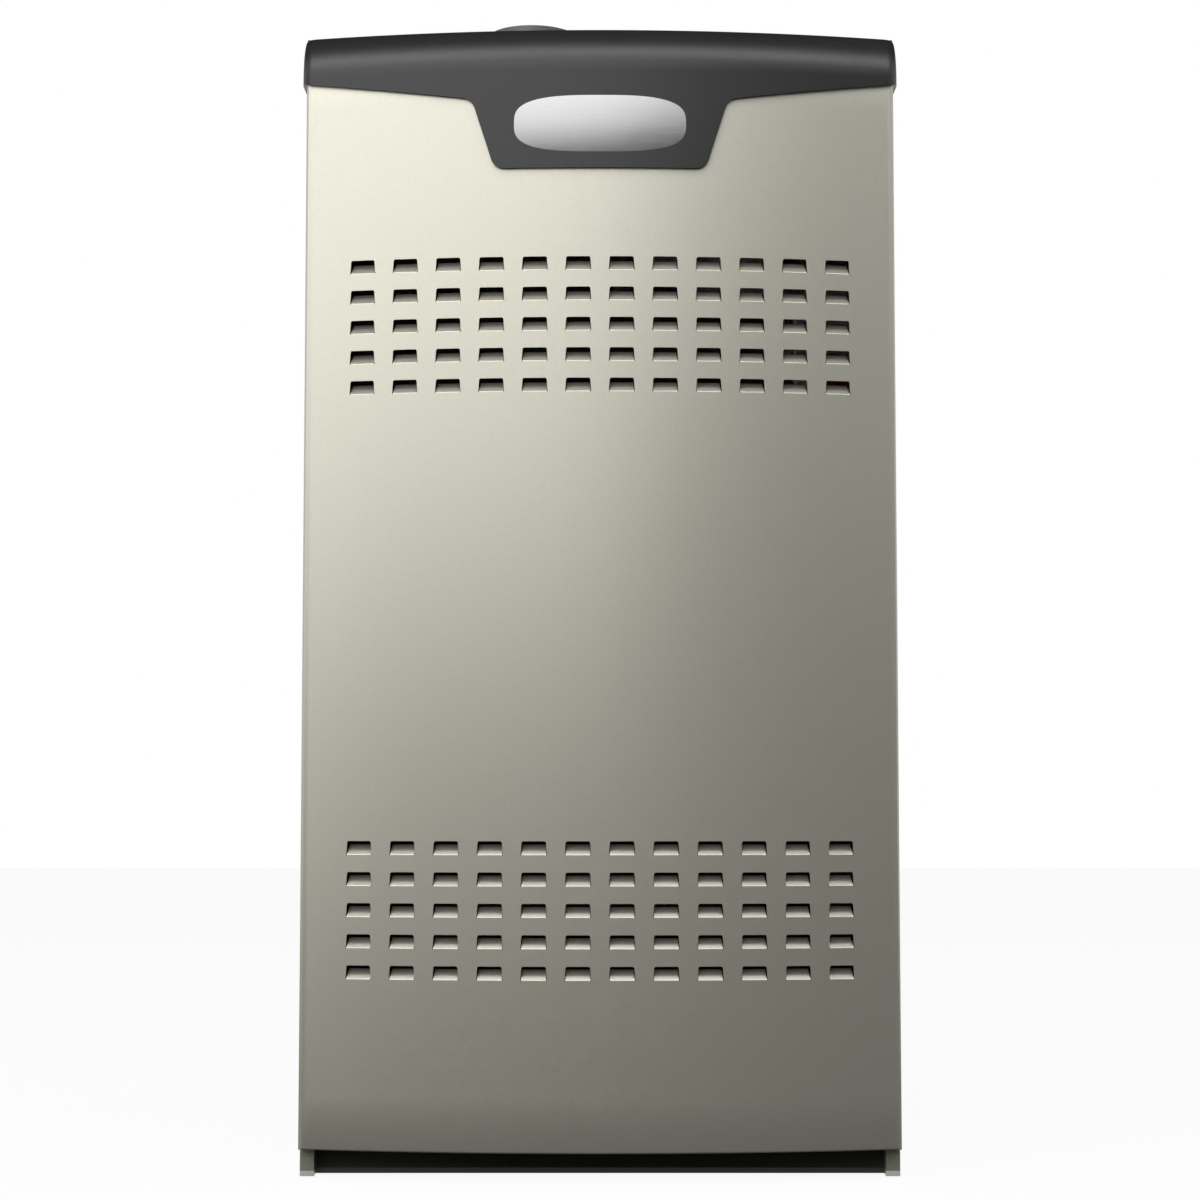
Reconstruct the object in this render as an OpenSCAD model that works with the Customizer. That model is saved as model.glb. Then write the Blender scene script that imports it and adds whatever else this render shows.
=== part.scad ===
// Forced air gas furnace: an upflow, condensing cabinet with a bowed one-piece front panel.
// Millimetres. The origin is the middle of the footprint on the floor, Z is up and the front faces -Y.

/* [Cabinet] */
// Width over the side walls
cab_w = 445; // [436:1:465]
// Height of the casing without pipes and flanges
cab_h = 838; // [830:1:900]
// Depth of the casing without its front panel
cab_d = 705; // [690:1:760]
// Thickness of the steel sheet
sheet = 1; // [0.8:0.1:1.2]
// Width of each front post
post_w = 10.5; // [10:0.1:12]
// Depth of each front post's return
post_d = 17; // [13:0.5:22]
// Depth of the vestibule behind the front posts
vest_d = 170; // [166:1:180]
// Height of the blower deck's top face
deck_top = 356; // [352:1:362]
// Width of the flanges that join inner sheets
flange = 12; // [9:1:15]
// Height of the toe rail
toe_h = 60; // [45:1:75]
// Width of the return air opening in the base
return_w = 406; // [380:1:420]
// Depth of the return air opening in the base
return_d = 584; // [500:1:600]
// Width of the supply air opening in the top
supply_w = 416; // [380:1:424]
// Depth of the supply air opening in the top
supply_d = 494; // [450:1:500]
// Height of the supply air flange above the top
supply_rise = 25; // [15:1:30]
// Thickness of the foil-faced cabinet insulation
lining_t = 12; // [6:1:14]

/* [Front panel] */
// How far the panel's middle stands in front of its side edges
bow = 25.8; // [20:0.1:30]
// Depth of the panel's side walls
door_side = 12; // [10:0.5:16]
// Gap between the panel's lips and the front posts
door_gap = 2; // [1.6:0.1:3]
// Height of the panel's bottom edge above the floor
door_z = 21.1; // [12:0.1:30]
// Thickness of the panel's sheet
door_t = 1; // [0.8:0.1:1.2]
// Outside radius of the panel's upright corners
door_corner = 3; // [2:0.1:5]
// Width of the lips behind the side walls
door_lip = 9.5; // [9:0.1:10]
// Width of the flanges along the top and bottom edges
door_flange = 14; // [10:1:18]
// Height of each stiffener channel
stiffener_h = 24; // [16:1:30]
// Depth of each stiffener channel
stiffener_d = 10; // [6:1:12]
// Heights of the stiffener channels' lower edges
stiffener_z = [60, 360, 540, 700]; // [25:1:800]
// Thickness of the panel's insulation pad
pad_t = 8; // [4:1:12]
// Diameter of the ball on each catch stud
stud_ball_d = 4.4; // [3.6:0.1:4.6]
// Height of the catch studs from the panel's ends
stud_inset = 70; // [40:1:90]

/* [Louvres] */
// Columns of louvres in each field
louvre_cols = 12; // [8:1:12]
// Rows of louvres in each field
louvre_rows = 5; // [2:1:5]
// Distance between columns along the panel
louvre_px = 32.4; // [28:0.1:33]
// Distance between rows
louvre_pz = 22.83; // [18:0.01:24]
// Width of a slot along its upper edge
slot_top_w = 17.9; // [14:0.1:19]
// Width of a slot along its lower edge
slot_low_w = 19.4; // [15:0.1:21]
// Height of a slot
slot_h = 10.4; // [9:0.1:12]
// Height of the upper field's first slot
upper_field_z = 682.1; // [670:0.1:690]
// Height of the lower field's first slot
lower_field_z = 247.7; // [230:0.1:300]
// Length of the tongue bent in from each slot
tongue_l = 10.8; // [8:0.1:12]
// Angle of the tongue away from upright
tongue_tilt = 44; // [30:1:55]
// Gap beside each tongue
tongue_gap = 0.5; // [0.3:0.1:1]

/* [Top cap and badge] */
// Height of the cap's top above the casing
cap_rise = 25; // [15:0.5:30]
// Thickness of the cap's wall
cap_wall = 2.6; // [2:0.1:3]
// Gap between the cap and what it covers
cap_gap = 0.4; // [0.3:0.1:0.6]
// Radius of the cap's rounded shoulder
cap_shoulder = 40; // [20:1:44]
// How far the cap reaches behind the front of the posts
cap_back = 20; // [15:1:30]
// How far the side lips hang below the top of the casing
cap_lip = 19.1; // [12:0.1:25]
// Half the width of the bib where it meets the lips' slope
knee_x = 96.3; // [85:0.1:110]
// Depth of that meeting point below the top of the casing
knee_drop = 36.2; // [30:0.1:40]
// Half the width of the bib along its bottom edge
bib_x = 79.2; // [72:0.1:84]
// Depth of the bib's bottom edge below the top of the casing
bib_drop = 89.4; // [84:0.1:95]
// Radius of the bib's corners
bib_r = 10; // [6:0.5:14]
// Width of the badge plate
badge_w = 130; // [110:1:136]
// Height of the badge plate
badge_h = 43; // [36:1:46]
// Depth of the badge's centre below the top of the casing
badge_drop = 56; // [52:0.5:58]
// Thickness of the badge plate
badge_t = 2.2; // [1.6:0.1:2.4]
// How far the badge stands in front of the bib
badge_proud = 0.8; // [0.4:0.1:1.2]

/* [Venting] */
// Distance of the exhaust outlet to the left of the middle
vent_x = 53.6; // [45:0.1:70]
// Distance of the pipe outlets behind the panel's side edges
vent_y = 90; // [84:1:96]
// Radius of the plastic vent pipe, a nominal 2 inch pipe
pipe_r = 30.15; // [29:0.05:31]
// Wall of the vent pipe
pipe_wall = 3.9; // [2.5:0.1:4.5]
// Radial gap of a pipe in its socket
socket_gap = 0.1; // [0.05:0.01:0.3]
// Wall of the couplings around the pipe
coupling_wall = 3.5; // [3:0.1:4]
// Height of the exhaust coupling's rim above the top of the casing
coupling_rise = 43.8; // [38:0.1:50]
// Depth of the exhaust coupling's upper socket
socket_d = 35; // [28:1:40]
// Radius of the couplings' fixing flanges
coupling_flange_r = 45; // [42:1:50]
// Distance of the air intake to the right of the middle
intake_x = 100; // [90:1:120]
// Height of the intake coupling's rim above the top of the casing
intake_rise = 22; // [16:1:26]
// Radius of the vent pipe's bends
bend_r = 45; // [40:1:50]
// Distance of the riser from the side wall's inner face
riser_wall_gap = 36.5; // [36:0.1:40]
// Depth of the vent's upper bend below the top of the casing
riser_drop = 19.4; // [17:0.1:23]
// Gap between the sloping vent pipe and the burner box
slope_gap = 6.3; // [5:0.1:7]

/* [Burners and heat exchangers] */
// Gap between the outer burners' ends and the burner box's sides
burner_side = 10; // [7:0.5:13]
// Height of the burners above the middle between the deck and the top
burner_up = 25; // [21:0.5:29]
// Distance of the burner box from the side walls
box_side = 91.5; // [91:0.5:97]
// Height of the burner box
box_h = 95; // [88:1:100]
// Depth of the burner box
box_d = 120; // [112:1:125]
// Outside radius of the burners' throats
burner_r = 12; // [10:0.5:14]
// Outside radius of the heat exchanger tubes
cell_r = 19; // [16:0.5:20]
// Wall of the heat exchanger tubes
cell_wall = 1.2; // [0.8:0.1:1.5]
// Depth of the cells' top passes below the top of the casing
pass_drop = 70; // [66:1:80]
// Width of the welded seam around each cell
seam_w = 14; // [8:1:18]
// Outside radius of the secondary coil's tubes
coil_r = 8; // [6:0.5:9]
// Columns of secondary tubes
coil_cols = 8; // [4:1:8]
// Rows of secondary tubes
coil_rows = 3; // [2:1:3]
// Distance between columns of secondary tubes
coil_px = 44; // [40:1:46]
// Distance between rows of secondary tubes
coil_pz = 34; // [28:1:36]
// Fins on the secondary coil
fins = 22; // [8:1:24]
// Thickness of a fin
fin_t = 0.6; // [0.4:0.1:1]
// Depth of the coil's middle below the middle between the deck and the burners
coil_low = 3; // [0:0.5:6]
// Half the height of the headers at the coil's ends
header_half = 56; // [54:1:58]
// Gap between the coil's headers and the insulation
header_gap = 17.5; // [14:0.5:21]
// Depth of the cold end header
header_d = 34; // [28:1:38]
// Wall of the cold end header
header_wall = 2.5; // [2:0.1:3]

/* [Inducer] */
// Outside radius of the inducer wheel
ind_wheel_r = 48; // [44:1:50]
// Depth of the inducer housing
ind_d = 46; // [42:1:50]
// Wall of the inducer housing
ind_wall = 3; // [2:0.5:3.5]
// Radius of the inducer shaft
ind_shaft_r = 4; // [3:0.5:5]
// Blades on the inducer wheel
ind_blades = 16; // [8:1:20]
// Radius of the inducer motor
ind_motor_r = 36; // [30:1:38]
// Length of the inducer motor
ind_motor_l = 52; // [44:1:60]

/* [Blower] */
// Outside radius of the blower wheel, a nominal 10 inch wheel
wheel_r = 127; // [120:1:130]
// Width of the blower wheel, a nominal 8 inch wheel
wheel_w = 203; // [190:1:206]
// Blades on the blower wheel
wheel_blades = 32; // [16:1:40]
// Radial depth of the blades
blade_d = 18; // [14:1:20]
// Width of the blower housing
scroll_w = 235; // [230:1:245]
// Radius of the housing at its cutoff
scroll_r0 = 137; // [135:1:140]
// Radius of the housing at its outlet
scroll_r1 = 184; // [178:1:188]
// Radius of the housing's inlets
inlet_r = 106; // [100:1:108]
// Distance of the blower shaft behind the middle of the footprint
blower_y = 40; // [30:1:50]
// Height of the blower shaft
blower_z = 176; // [174:1:180]
// Radius of the blower shaft, a nominal half inch shaft
shaft_r = 6.35; // [6:0.05:8]
// Radial clearance of every running shaft
running_gap = 0.05; // [0.02:0.01:0.1]
// Radius of the blower motor
motor_r = 70; // [60:1:72]
// Length of the blower motor
motor_l = 112; // [100:1:118]

/* [Gas train and controls] */
// Radius of the gas manifold pipe
manifold_r = 10.65; // [9:0.05:12]
// Radius of the tapped gas inlet, the tap drill of a half inch pipe thread
gas_port_r = 9.13; // [8:0.01:10]
// Width of the gas valve body
valve_w = 58; // [50:1:60]
// Depth of the gas valve body
valve_d = 58; // [52:1:60]
// Height of the gas valve body
valve_h = 76; // [70:1:84]
// Radius of the gas valve knob
knob_r = 15; // [12:0.5:18]
// Height of the gas valve knob
knob_h = 12; // [9:0.5:14]
// Radius of the door switch plunger
plunger_r = 4; // [3:0.1:5]
// Distance of the door switch from the right side wall
switch_side = 36.5; // [32:0.5:46]
// Radius of the pressure switch body
switch_r = 30; // [24:1:32]
// Length of the control board
board_l = 180; // [150:1:200]
// Height of the control board
board_h = 110; // [90:1:120]
// Radius of the gas pipe hole in the right side wall
gas_hole_r = 19; // [16:0.5:21]
// Radius of the condensate drain hole in the right side wall
drain_hole_r = 14; // [12:0.5:16]
// Radius of the electrical knockout in the left side wall
knockout_r = 11.1; // [10:0.1:14]
// Radius of the screw shanks
screw_r = 1.8; // [1.5:0.1:2.4]

/* [Hidden] */

arc_fn = 256;
round_fn = 64;
small_fn = 32;
$fn = small_fn;
// Overreach that makes a cut pass cleanly through a surface
over = 1;

// Main planes, all from the driving sizes
half_w = cab_w / 2;
in_x = half_w - sheet;
total_d = cab_d + door_gap + door_side + bow + cap_gap + cap_wall + badge_proud;
y_back = total_d / 2;
y_front = y_back - cab_d;
y_in_back = y_back - sheet;
y_rail = y_front + post_d;
y_vest = y_front + vest_d;
y_heat = y_vest + sheet;
y_panel = y_front - door_gap;
y_edge = y_panel - door_side;
top_in = cab_h - sheet;

// The bow: one upright cylinder through the panel's side edges and its middle
bow_r = (half_w * half_w + bow * bow) / (2 * bow);
bow_cy = y_edge - bow + bow_r;
cap_top = cab_h + cap_rise;
// The panel ends just above the foot of the cap's shoulder
door_top = cap_top - cap_shoulder + 3;
door_h = door_top - door_z;
post_mid = half_w - post_w / 2;
stud_z = [door_z + stud_inset, door_top - stud_inset];

// Vent positions
y_vent = y_edge + vent_y;
riser_x = -(in_x - riser_wall_gap);
ind_y_back = y_vest - header_d - 2;
ind_y_front = ind_y_back - ind_d;
y_riser = (ind_y_back + ind_y_front) / 2;
offset_l = norm([-vent_x - riser_x, y_vent - y_riser]);
offset_turn = atan2(y_vent - y_riser, -vent_x - riser_x);
coupling_r = pipe_r + socket_gap + coupling_wall;
socket_r = pipe_r + socket_gap;

// Combustion
header_x = in_x - lining_t - header_gap;
box_x = in_x - box_side;
switch_x = in_x - switch_side;
burner_z = (deck_top + cab_h) / 2 + burner_up;
cell_pitch = (box_x - burner_side) / 1.5;
cell_x = [-cell_pitch, 0, cell_pitch];
box_z0 = burner_z - box_h / 2;
y_cover = y_vest - box_d;
coil_z = (deck_top + burner_z) / 2 - coil_low;
collector_d = 50;
y_collector = y_in_back - lining_t - 7 - collector_d;
y_down = y_collector + collector_d / 2;
top_pass_z = cab_h - pass_drop;
pass_pitch = (top_pass_z - burner_z) / 2;
manifold_y = y_cover - sheet - manifold_r - 6;
valve_x = box_x + 16 + valve_w / 2;
valve_z0 = burner_z - valve_h / 2 - 4;

// The sloping vent pipe passes the burner box's upper edge at the distance slope_gap
edge_up = cab_h - riser_drop - burner_z - box_h / 2;
edge_in = bend_r - offset_l * (box_x - vent_x) / (-vent_x - riser_x);
slope = atan2(edge_in, edge_up) + acos((bend_r + pipe_r + slope_gap) / norm([edge_up, edge_in]));
turn = 90 - slope;
bend_t = bend_r * tan(turn / 2);
riser_z_top = cab_h - riser_drop - bend_t;
riser_z_low = riser_z_top - offset_l * tan(slope);

// Inducer scroll
ind_x = riser_x + 50;
ind_z = coil_z - 6;
ind_r0 = ind_wheel_r + 11;
ind_r1 = 79;
ind_phi = -25;
ind_top = 84;
ind_socket_z = ind_z + ind_top;

// Blower
scroll_phi = 25;
motor_x = -scroll_w / 2 - 26;
mouth_y0 = blower_y - scroll_r0 * sin(scroll_phi);
mouth_y1 = blower_y + scroll_r1;
deck_low = deck_top - sheet;
box_bottom = deck_low - board_h - 24;
y_box = y_rail + 70;

function unit(v) = v / norm(v);

// Points of the arc that rounds the corner p1 between p0 and p2 at radius r
function fillet(p0, p1, p2, r, n) =
    let (a = unit(p0 - p1), b = unit(p2 - p1), half = acos(a * b) / 2)
    let (c = p1 + unit(a + b) * r / sin(half), s = p1 + a * r / tan(half), e = p1 + b * r / tan(half))
    let (a0 = atan2(s.y - c.y, s.x - c.x), a1 = atan2(e.y - c.y, e.x - c.x))
    let (sweep = (a1 - a0 + 540) % 360 - 180)
    [for (i = [0 : n]) c + r * [cos(a0 + sweep * i / n), sin(a0 + sweep * i / n)]];

// An outline whose corners are rounded by the radii given beside them
function rounded(pts, radii, n = 8) =
    let (m = len(pts))
    [for (i = [0 : m - 1]) each
        radii[i] > 0 ? fillet(pts[(i + m - 1) % m], pts[i], pts[(i + 1) % m], radii[i], n) : [pts[i]]];

// Spiral from angle phi0 to three quarters of a turn, angles counted from up towards +X
function spiral(r0, r1, phi0, n = 36) =
    [for (i = [0 : n]) let (f = phi0 + (270 - phi0) * i / n, r = r0 + (r1 - r0) * i / n)
        [r * sin(f), r * cos(f)]];

// Outline of a scroll housing whose outlet rises to the height top, pulled in by the wall w
function scroll_outline(r0, r1, phi0, top, w) =
    concat(spiral(r0 - w, r1 - w, phi0), [
        [-(r1 - w), top],
        [r0 * sin(phi0) - w, top],
        [r0 * sin(phi0) - w, (r0 - w) * cos(phi0)]
    ]);

// Puts what is drawn along +Z so that it points to the front
module to_front(x, y, z) translate([x, y, z]) rotate([90, 0, 0]) children();

// Puts what is drawn along +Z so that it points to +X
module to_right(x, y, z) translate([x, y, z]) rotate([0, 90, 0]) children();

// A box from one corner to the opposite one
module block(a, b) translate(a) cube(b - a);

// A round tube along +Z
module pipe(r, bore, l, fn = round_fn) difference() {
    cylinder(r = r, h = l, $fn = fn);
    translate([0, 0, -over]) cylinder(r = bore, h = l + 2 * over, $fn = fn);
}

// Rod of round section swept along hand-set points, with flat ends square to the first and last runs
module swept(points, r, sides = 8) {
    n = len(points);
    function along(i) = unit(points[min(i + 1, n - 1)] - points[max(i - 1, 0)]);
    function across(i) = i == 0
        ? unit(cross(along(0), abs(along(0).z) < 0.9 ? [0, 0, 1] : [1, 0, 0]))
        : let (a = across(i - 1)) unit(a - along(i) * (a * along(i)));
    sides_at = [for (i = [0 : n - 1]) across(i)];
    verts = [for (i = [0 : n - 1]) let (u = sides_at[i], v = cross(along(i), u))
        each [for (k = [0 : sides - 1]) points[i] + r * (u * cos(360 * k / sides) + v * sin(360 * k / sides))]];
    faces = concat(
        [[for (k = [0 : sides - 1]) k]],
        [for (i = [0 : n - 2]) for (k = [0 : sides - 1]) let (a = i * sides, q = (k + 1) % sides)
            each [[a + k, a + sides + k, a + q], [a + q, a + sides + k, a + sides + q]]],
        [[for (k = [sides - 1 : -1 : 0]) (n - 1) * sides + k]]);
    polyhedron(points = verts, faces = faces);
}

// Points of a smooth curve through hand-set points, m steps to each stretch
function smooth(p, m = 4) =
    [for (i = [0 : len(p) - 2]) let (a = p[max(i - 1, 0)], b = p[i], c = p[i + 1], d = p[min(i + 2, len(p) - 1)])
        each [for (k = [0 : (i == len(p) - 2 ? m : m - 1)]) let (t = k / m)
            0.5 * (2 * b + (c - a) * t + (2 * a - 5 * b + 4 * c - d) * t * t + (3 * b - a - 3 * c + d) * t * t * t)]];

// Plan of the bowed panel pulled in by inset: a wide arc, round corners and straight sides to the plane back
module bow_plan(inset, corner, back) {
    r = bow_r - inset;
    cx = half_w - inset - corner;
    cy = bow_cy - sqrt(pow(r - corner, 2) - cx * cx);
    u = [cx, cy - bow_cy] / (r - corner);
    intersection() {
        translate([0, bow_cy]) circle(r = r, $fn = arc_fn);
        union() {
            translate([-cx, bow_cy - r - over]) square([2 * cx, back - bow_cy + r + over]);
            if (corner > 0) for (m = [0, 1]) mirror([m, 0])
                polygon([[cx, cy], [cx, cy - 3 * corner], [cx, cy] + 3 * corner * u]);
        }
    }
    if (corner > 0) for (m = [0, 1]) mirror([m, 0]) translate([cx, cy]) {
        circle(r = corner, $fn = small_fn);
        square([corner, back - cy]);
    }
}

// A wall of thickness t that follows the bow, from the height z0 up by h
module bow_wall(inset, t, z0, h, back) translate([0, 0, z0]) linear_extrude(h) difference() {
    bow_plan(inset, max(door_corner - inset, 0), back);
    bow_plan(inset + t, max(door_corner - inset - t, 0), back + over);
}

// Puts what is drawn at each louvre: X along the panel, Y inwards from its outer face, Z from the slot's top
module at_louvres() for (z = [upper_field_z, lower_field_z], col = [0 : louvre_cols - 1], row = [0 : louvre_rows - 1])
    translate([0, bow_cy, z - row * louvre_pz])
        rotate([0, 0, asin((col - (louvre_cols - 1) / 2) * louvre_px / bow_r)])
            translate([0, -bow_r, 0]) children();

// Cut of one louvre, narrower along its upper edge
module slot_cut() rotate([-90, 0, 0]) translate([0, 0, -2 * over]) linear_extrude(door_t + 4 * over)
    polygon([[-slot_top_w / 2, 0], [slot_top_w / 2, 0], [slot_low_w / 2, slot_h], [-slot_low_w / 2, slot_h]]);

// Tongue of one louvre, bent inwards about the slot's lower edge
module tongue() {
    low = slot_low_w / 2 - tongue_gap;
    high = low - (slot_low_w - slot_top_w) / 2;
    tail = 0.4;
    translate([0, 0.6 * door_t, -slot_h]) rotate([90 - tongue_tilt, 0, 0])
        translate([0, 0, -door_t / 2]) linear_extrude(door_t)
            polygon([[-low, -tail], [low, -tail], [high, tongue_l], [-high, tongue_l]]);
}

module front_panel() color("#c9c6b4") {
    difference() {
        union() {
            bow_wall(0, door_t, door_z, door_h, y_panel);
            bow_wall(0, door_flange, door_z, door_t, y_panel);
            bow_wall(0, door_flange, door_top - door_t, door_t, y_panel);
            both_sides()
                block([half_w - door_lip, y_panel - door_t, door_z], [half_w, y_panel, door_top]);
        }
        at_louvres() slot_cut();
        for (m = [0, 1], z = stud_z) mirror([m, 0, 0])
            to_front(post_mid, y_panel + over, z) cylinder(r = 1.7, h = door_t + 2 * over);
    }
    at_louvres() tongue();
}

module panel_stiffeners() color("#b8bab8") {
    fit = door_t + 0.1;
    ends = half_w - door_lip - 3;
    for (z = stiffener_z) intersection() {
        difference() {
            bow_wall(fit, stiffener_d, z, stiffener_h, y_edge);
            bow_wall(fit + sheet, stiffener_d, z + sheet, stiffener_h - 2 * sheet, y_edge);
        }
        block([-ends, y_edge - bow - over, z - over], [ends, y_edge - over, z + stiffener_h + over]);
    }
    // Tab that presses the door switch
    tab_y = bow_cy - sqrt(pow(bow_r - fit - stiffener_d / 2, 2) - pow(switch_x - 8, 2));
    block([switch_x - 8, tab_y, deck_top + 4], [switch_x + 8, y_panel, deck_top + 22]);
}

module panel_pad() color("#d9dadb") {
    z0 = stiffener_z[1] + stiffener_h + 6;
    intersection() {
        bow_wall(door_t + 0.2, pad_t, z0, stiffener_z[2] - z0 - 6, y_edge);
        block([-0.42 * cab_w, y_edge - bow - over, z0 - over], [0.42 * cab_w, y_edge - over, stiffener_z[2]]);
    }
}

module panel_gaskets() color("#2b2b2b") {
    clear = 7;
    ends = [door_z + 4, stud_z[0] - clear, stud_z[0] + clear, stud_z[1] - clear, stud_z[1] + clear, door_top - 4];
    for (m = [0, 1], i = [0, 2, 4]) mirror([m, 0, 0])
        block([half_w - door_lip, y_panel, ends[i]], [half_w, y_front - 0.3, ends[i + 1]]);
}

module catch_studs() color("#c7c9cb") for (m = [0, 1], z = stud_z) mirror([m, 0, 0]) {
    to_front(post_mid, y_front + sheet + 7, z) cylinder(r = 1.5, h = 8 + sheet + door_gap + door_t);
    to_front(post_mid, y_panel - door_t, z) cylinder(r = 3, h = 1.2);
    to_front(post_mid, y_panel + 1.2, z) cylinder(r = 3, h = 1.2);
    translate([post_mid, y_front + sheet + 7, z]) sphere(d = stud_ball_d, $fn = small_fn);
}

module catch_sockets() color("#1e1f20") for (m = [0, 1], z = stud_z) mirror([m, 0, 0]) difference() {
    union() {
        to_front(post_mid, y_front + sheet + 5, z) cylinder(r = 3.5, h = 5 + sheet);
        to_front(post_mid, y_front + sheet + 9, z) cylinder(r = 4, h = 9);
    }
    to_front(post_mid, y_front + 20, z) cylinder(r = stud_ball_d / 2 + 0.3, h = 24);
}

cap_x = half_w + cap_gap + cap_wall;
cap_r = bow_r + cap_gap + cap_wall;
y_cap_back = y_front + cap_back;

// Front view of the cap: straight top, side lips, sloping lower edge and the bib in the middle
module cap_outline() for (m = [0, 1]) mirror([m, 0]) polygon(rounded(
    [[-over, cap_top], [cap_x, cap_top], [cap_x, cab_h - cap_lip], [knee_x, cab_h - knee_drop],
        [bib_x, cab_h - bib_drop], [-over, cab_h - bib_drop]],
    [0, 4, 1.5, 11, bib_r, 0]));

// Bowed solid with the rounded shoulder, its outside pulled in by w
module cap_solid(w) translate([0, bow_cy, 0]) rotate([0, 0, 255])
    rotate_extrude(angle = 30, $fn = arc_fn) polygon(rounded(
        [[cap_r - 80 - w, cab_h - bib_drop - over - w], [cap_r - w, cab_h - bib_drop - over - w],
            [cap_r - w, cap_top - w], [cap_r - 80 - w, cap_top - w]],
        [0, 0, cap_shoulder - w, 0], 16));

// Outline of the badge, fuller than an ellipse, grown by g
module badge_outline(g) {
    fullness = 2 / 3.1;
    a = badge_w / 2 + g;
    b = badge_h / 2 + g;
    translate([0, cab_h - badge_drop]) polygon([for (t = [0 : 5 : 355])
        [a * sign(cos(t)) * pow(abs(cos(t)), fullness), b * sign(sin(t)) * pow(abs(sin(t)), fullness)]]);
}

module along_y(y0, y1) translate([0, y1, 0]) rotate([90, 0, 0]) linear_extrude(y1 - y0) children();

module top_cap() color("#3f4143") difference() {
    union() {
        intersection() {
            along_y(y_edge - bow - 20, y_cap_back) cap_outline();
            union() {
                // The front, the top and the side walls in one
                difference() {
                    cap_solid(0);
                    intersection() {
                        cap_solid(cap_wall);
                        block([cap_wall - cap_x, y_edge - bow - 20, 0], [cap_x - cap_wall, 0, cap_top]);
                    }
                }
                block([-cap_x, y_cap_back - cap_wall, cab_h + cap_gap], [cap_x, y_cap_back, cap_top]);
            }
        }
        // Feet that stand on the front panel's top flange
        intersection() {
            cap_solid(1);
            for (x = [-175, -60, 60, 175]) translate([0, bow_cy, 0]) rotate([0, 0, asin(x / bow_r)])
                block([-5, -bow_r + 5, door_top], [5, -bow_r + 12, cap_top]);
        }
    }
    intersection() {
        along_y(y_edge - bow - 20, y_edge) badge_outline(0.3);
        translate([0, bow_cy, 0]) difference() {
            cylinder(r = cap_r + 10, h = cap_top, $fn = arc_fn);
            cylinder(r = cap_r + badge_proud - badge_t, h = cap_top, $fn = arc_fn);
        }
    }
}

module badge_plate() color("#d5d8dc") intersection() {
    along_y(y_edge - bow - 20, y_edge) badge_outline(0);
    translate([0, bow_cy, 0]) difference() {
        cylinder(r = cap_r + badge_proud, h = cap_top, $fn = arc_fn);
        cylinder(r = cap_r + badge_proud - badge_t + 0.05, h = cap_top, $fn = arc_fn);
    }
}

// Screws through the side walls into the flanges behind them: [distance along Y, height]
screw_rows_y = [y_rail + 60, 0, y_back - 60];
side_screws = concat(
    [for (y = screw_rows_y) [y, 9]],
    [for (y = screw_rows_y) [y, deck_low - 8]],
    [for (z = [deck_top + 30, deck_top + 240, top_in - 40]) [y_heat + flange / 2, z]]);
door_screws = [-0.34 * cab_w, 0.34 * cab_w];
door_screw_z = deck_top - 12;

// Rods of radius r that run in from the side walls' outer faces by the length l
module at_side_screws(r, l) for (m = [0, 1], s = side_screws) mirror([m, 0, 0])
    to_right(half_w - l, s[0], s[1]) cylinder(r = r, h = l + over);

gas_hole = [manifold_y, valve_z0 - 60];
drain_hole = [y_vest - 24, deck_top + 24];
knockout = [y_rail + 45, deck_top + 34];

// Pressed mark at a corner of the side return air cut-out
module corner_mark(y, z, sy, sz) both_sides() {
    mark_d = 0.4;
    mark_w = 3;
    mark_l = 45;
    block([half_w - mark_d, min(y, y + sy * mark_l), z - mark_w / 2],
        [half_w + over, max(y, y + sy * mark_l), z + mark_w / 2]);
    block([half_w - mark_d, y - mark_w / 2, min(z, z + sz * mark_l)],
        [half_w + over, y + mark_w / 2, max(z, z + sz * mark_l)]);
}

module cabinet_wrapper() color("#c4c1ae") difference() {
    linear_extrude(top_in) {
        difference() {
            translate([-half_w, y_front]) square([cab_w, cab_d]);
            translate([-in_x, y_front - over]) square([2 * in_x, cab_d - sheet + over]);
        }
        for (m = [0, 1]) mirror([m, 0]) translate([half_w - post_w, y_front]) {
            square([post_w, sheet]);
            square([sheet, post_d]);
        }
    }
    for (m = [0, 1], z = stud_z) mirror([m, 0, 0])
        to_front(post_mid, y_front + sheet + over, z) sheet_cut(3.6);
    at_side_screws(screw_r + 0.2, 2 * over);
    both_sides()
        to_right(in_x - over, gas_hole[0], gas_hole[1]) sheet_cut(gas_hole_r, round_fn);
    to_right(in_x - over, drain_hole[0], drain_hole[1]) sheet_cut(drain_hole_r, round_fn);
    to_right(-half_w - over, knockout[0], knockout[1]) sheet_cut(knockout_r, round_fn);
    mark_y0 = -200;
    mark_y1 = 300;
    for (y = [mark_y0, mark_y1], z = [50, deck_low - 40])
        corner_mark(y, z, y == mark_y0 ? 1 : -1, z == 50 ? 1 : -1);
}

module base_pan() color("#b9bbb9") difference() {
    y0 = y_rail + sheet;
    union() {
        block([-in_x, y0, 0], [in_x, y_in_back, sheet]);
        both_sides() block([in_x - sheet, y0, 0], [in_x, y_in_back, 18]);
        block([-in_x, y_in_back - sheet, 0], [in_x, y_in_back, 18]);
    }
    block([-return_w / 2, y_in_back - 45 - return_d, -over], [return_w / 2, y_in_back - 45, sheet + over]);
    at_side_screws(screw_r + 0.2, 4);
}

module toe_rail() color("#302f28") {
    block([-in_x, y_rail, 0], [in_x, y_rail + sheet, toe_h]);
    block([-in_x, y_rail, toe_h - sheet], [in_x, y_rail + 20, toe_h]);
}

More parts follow.
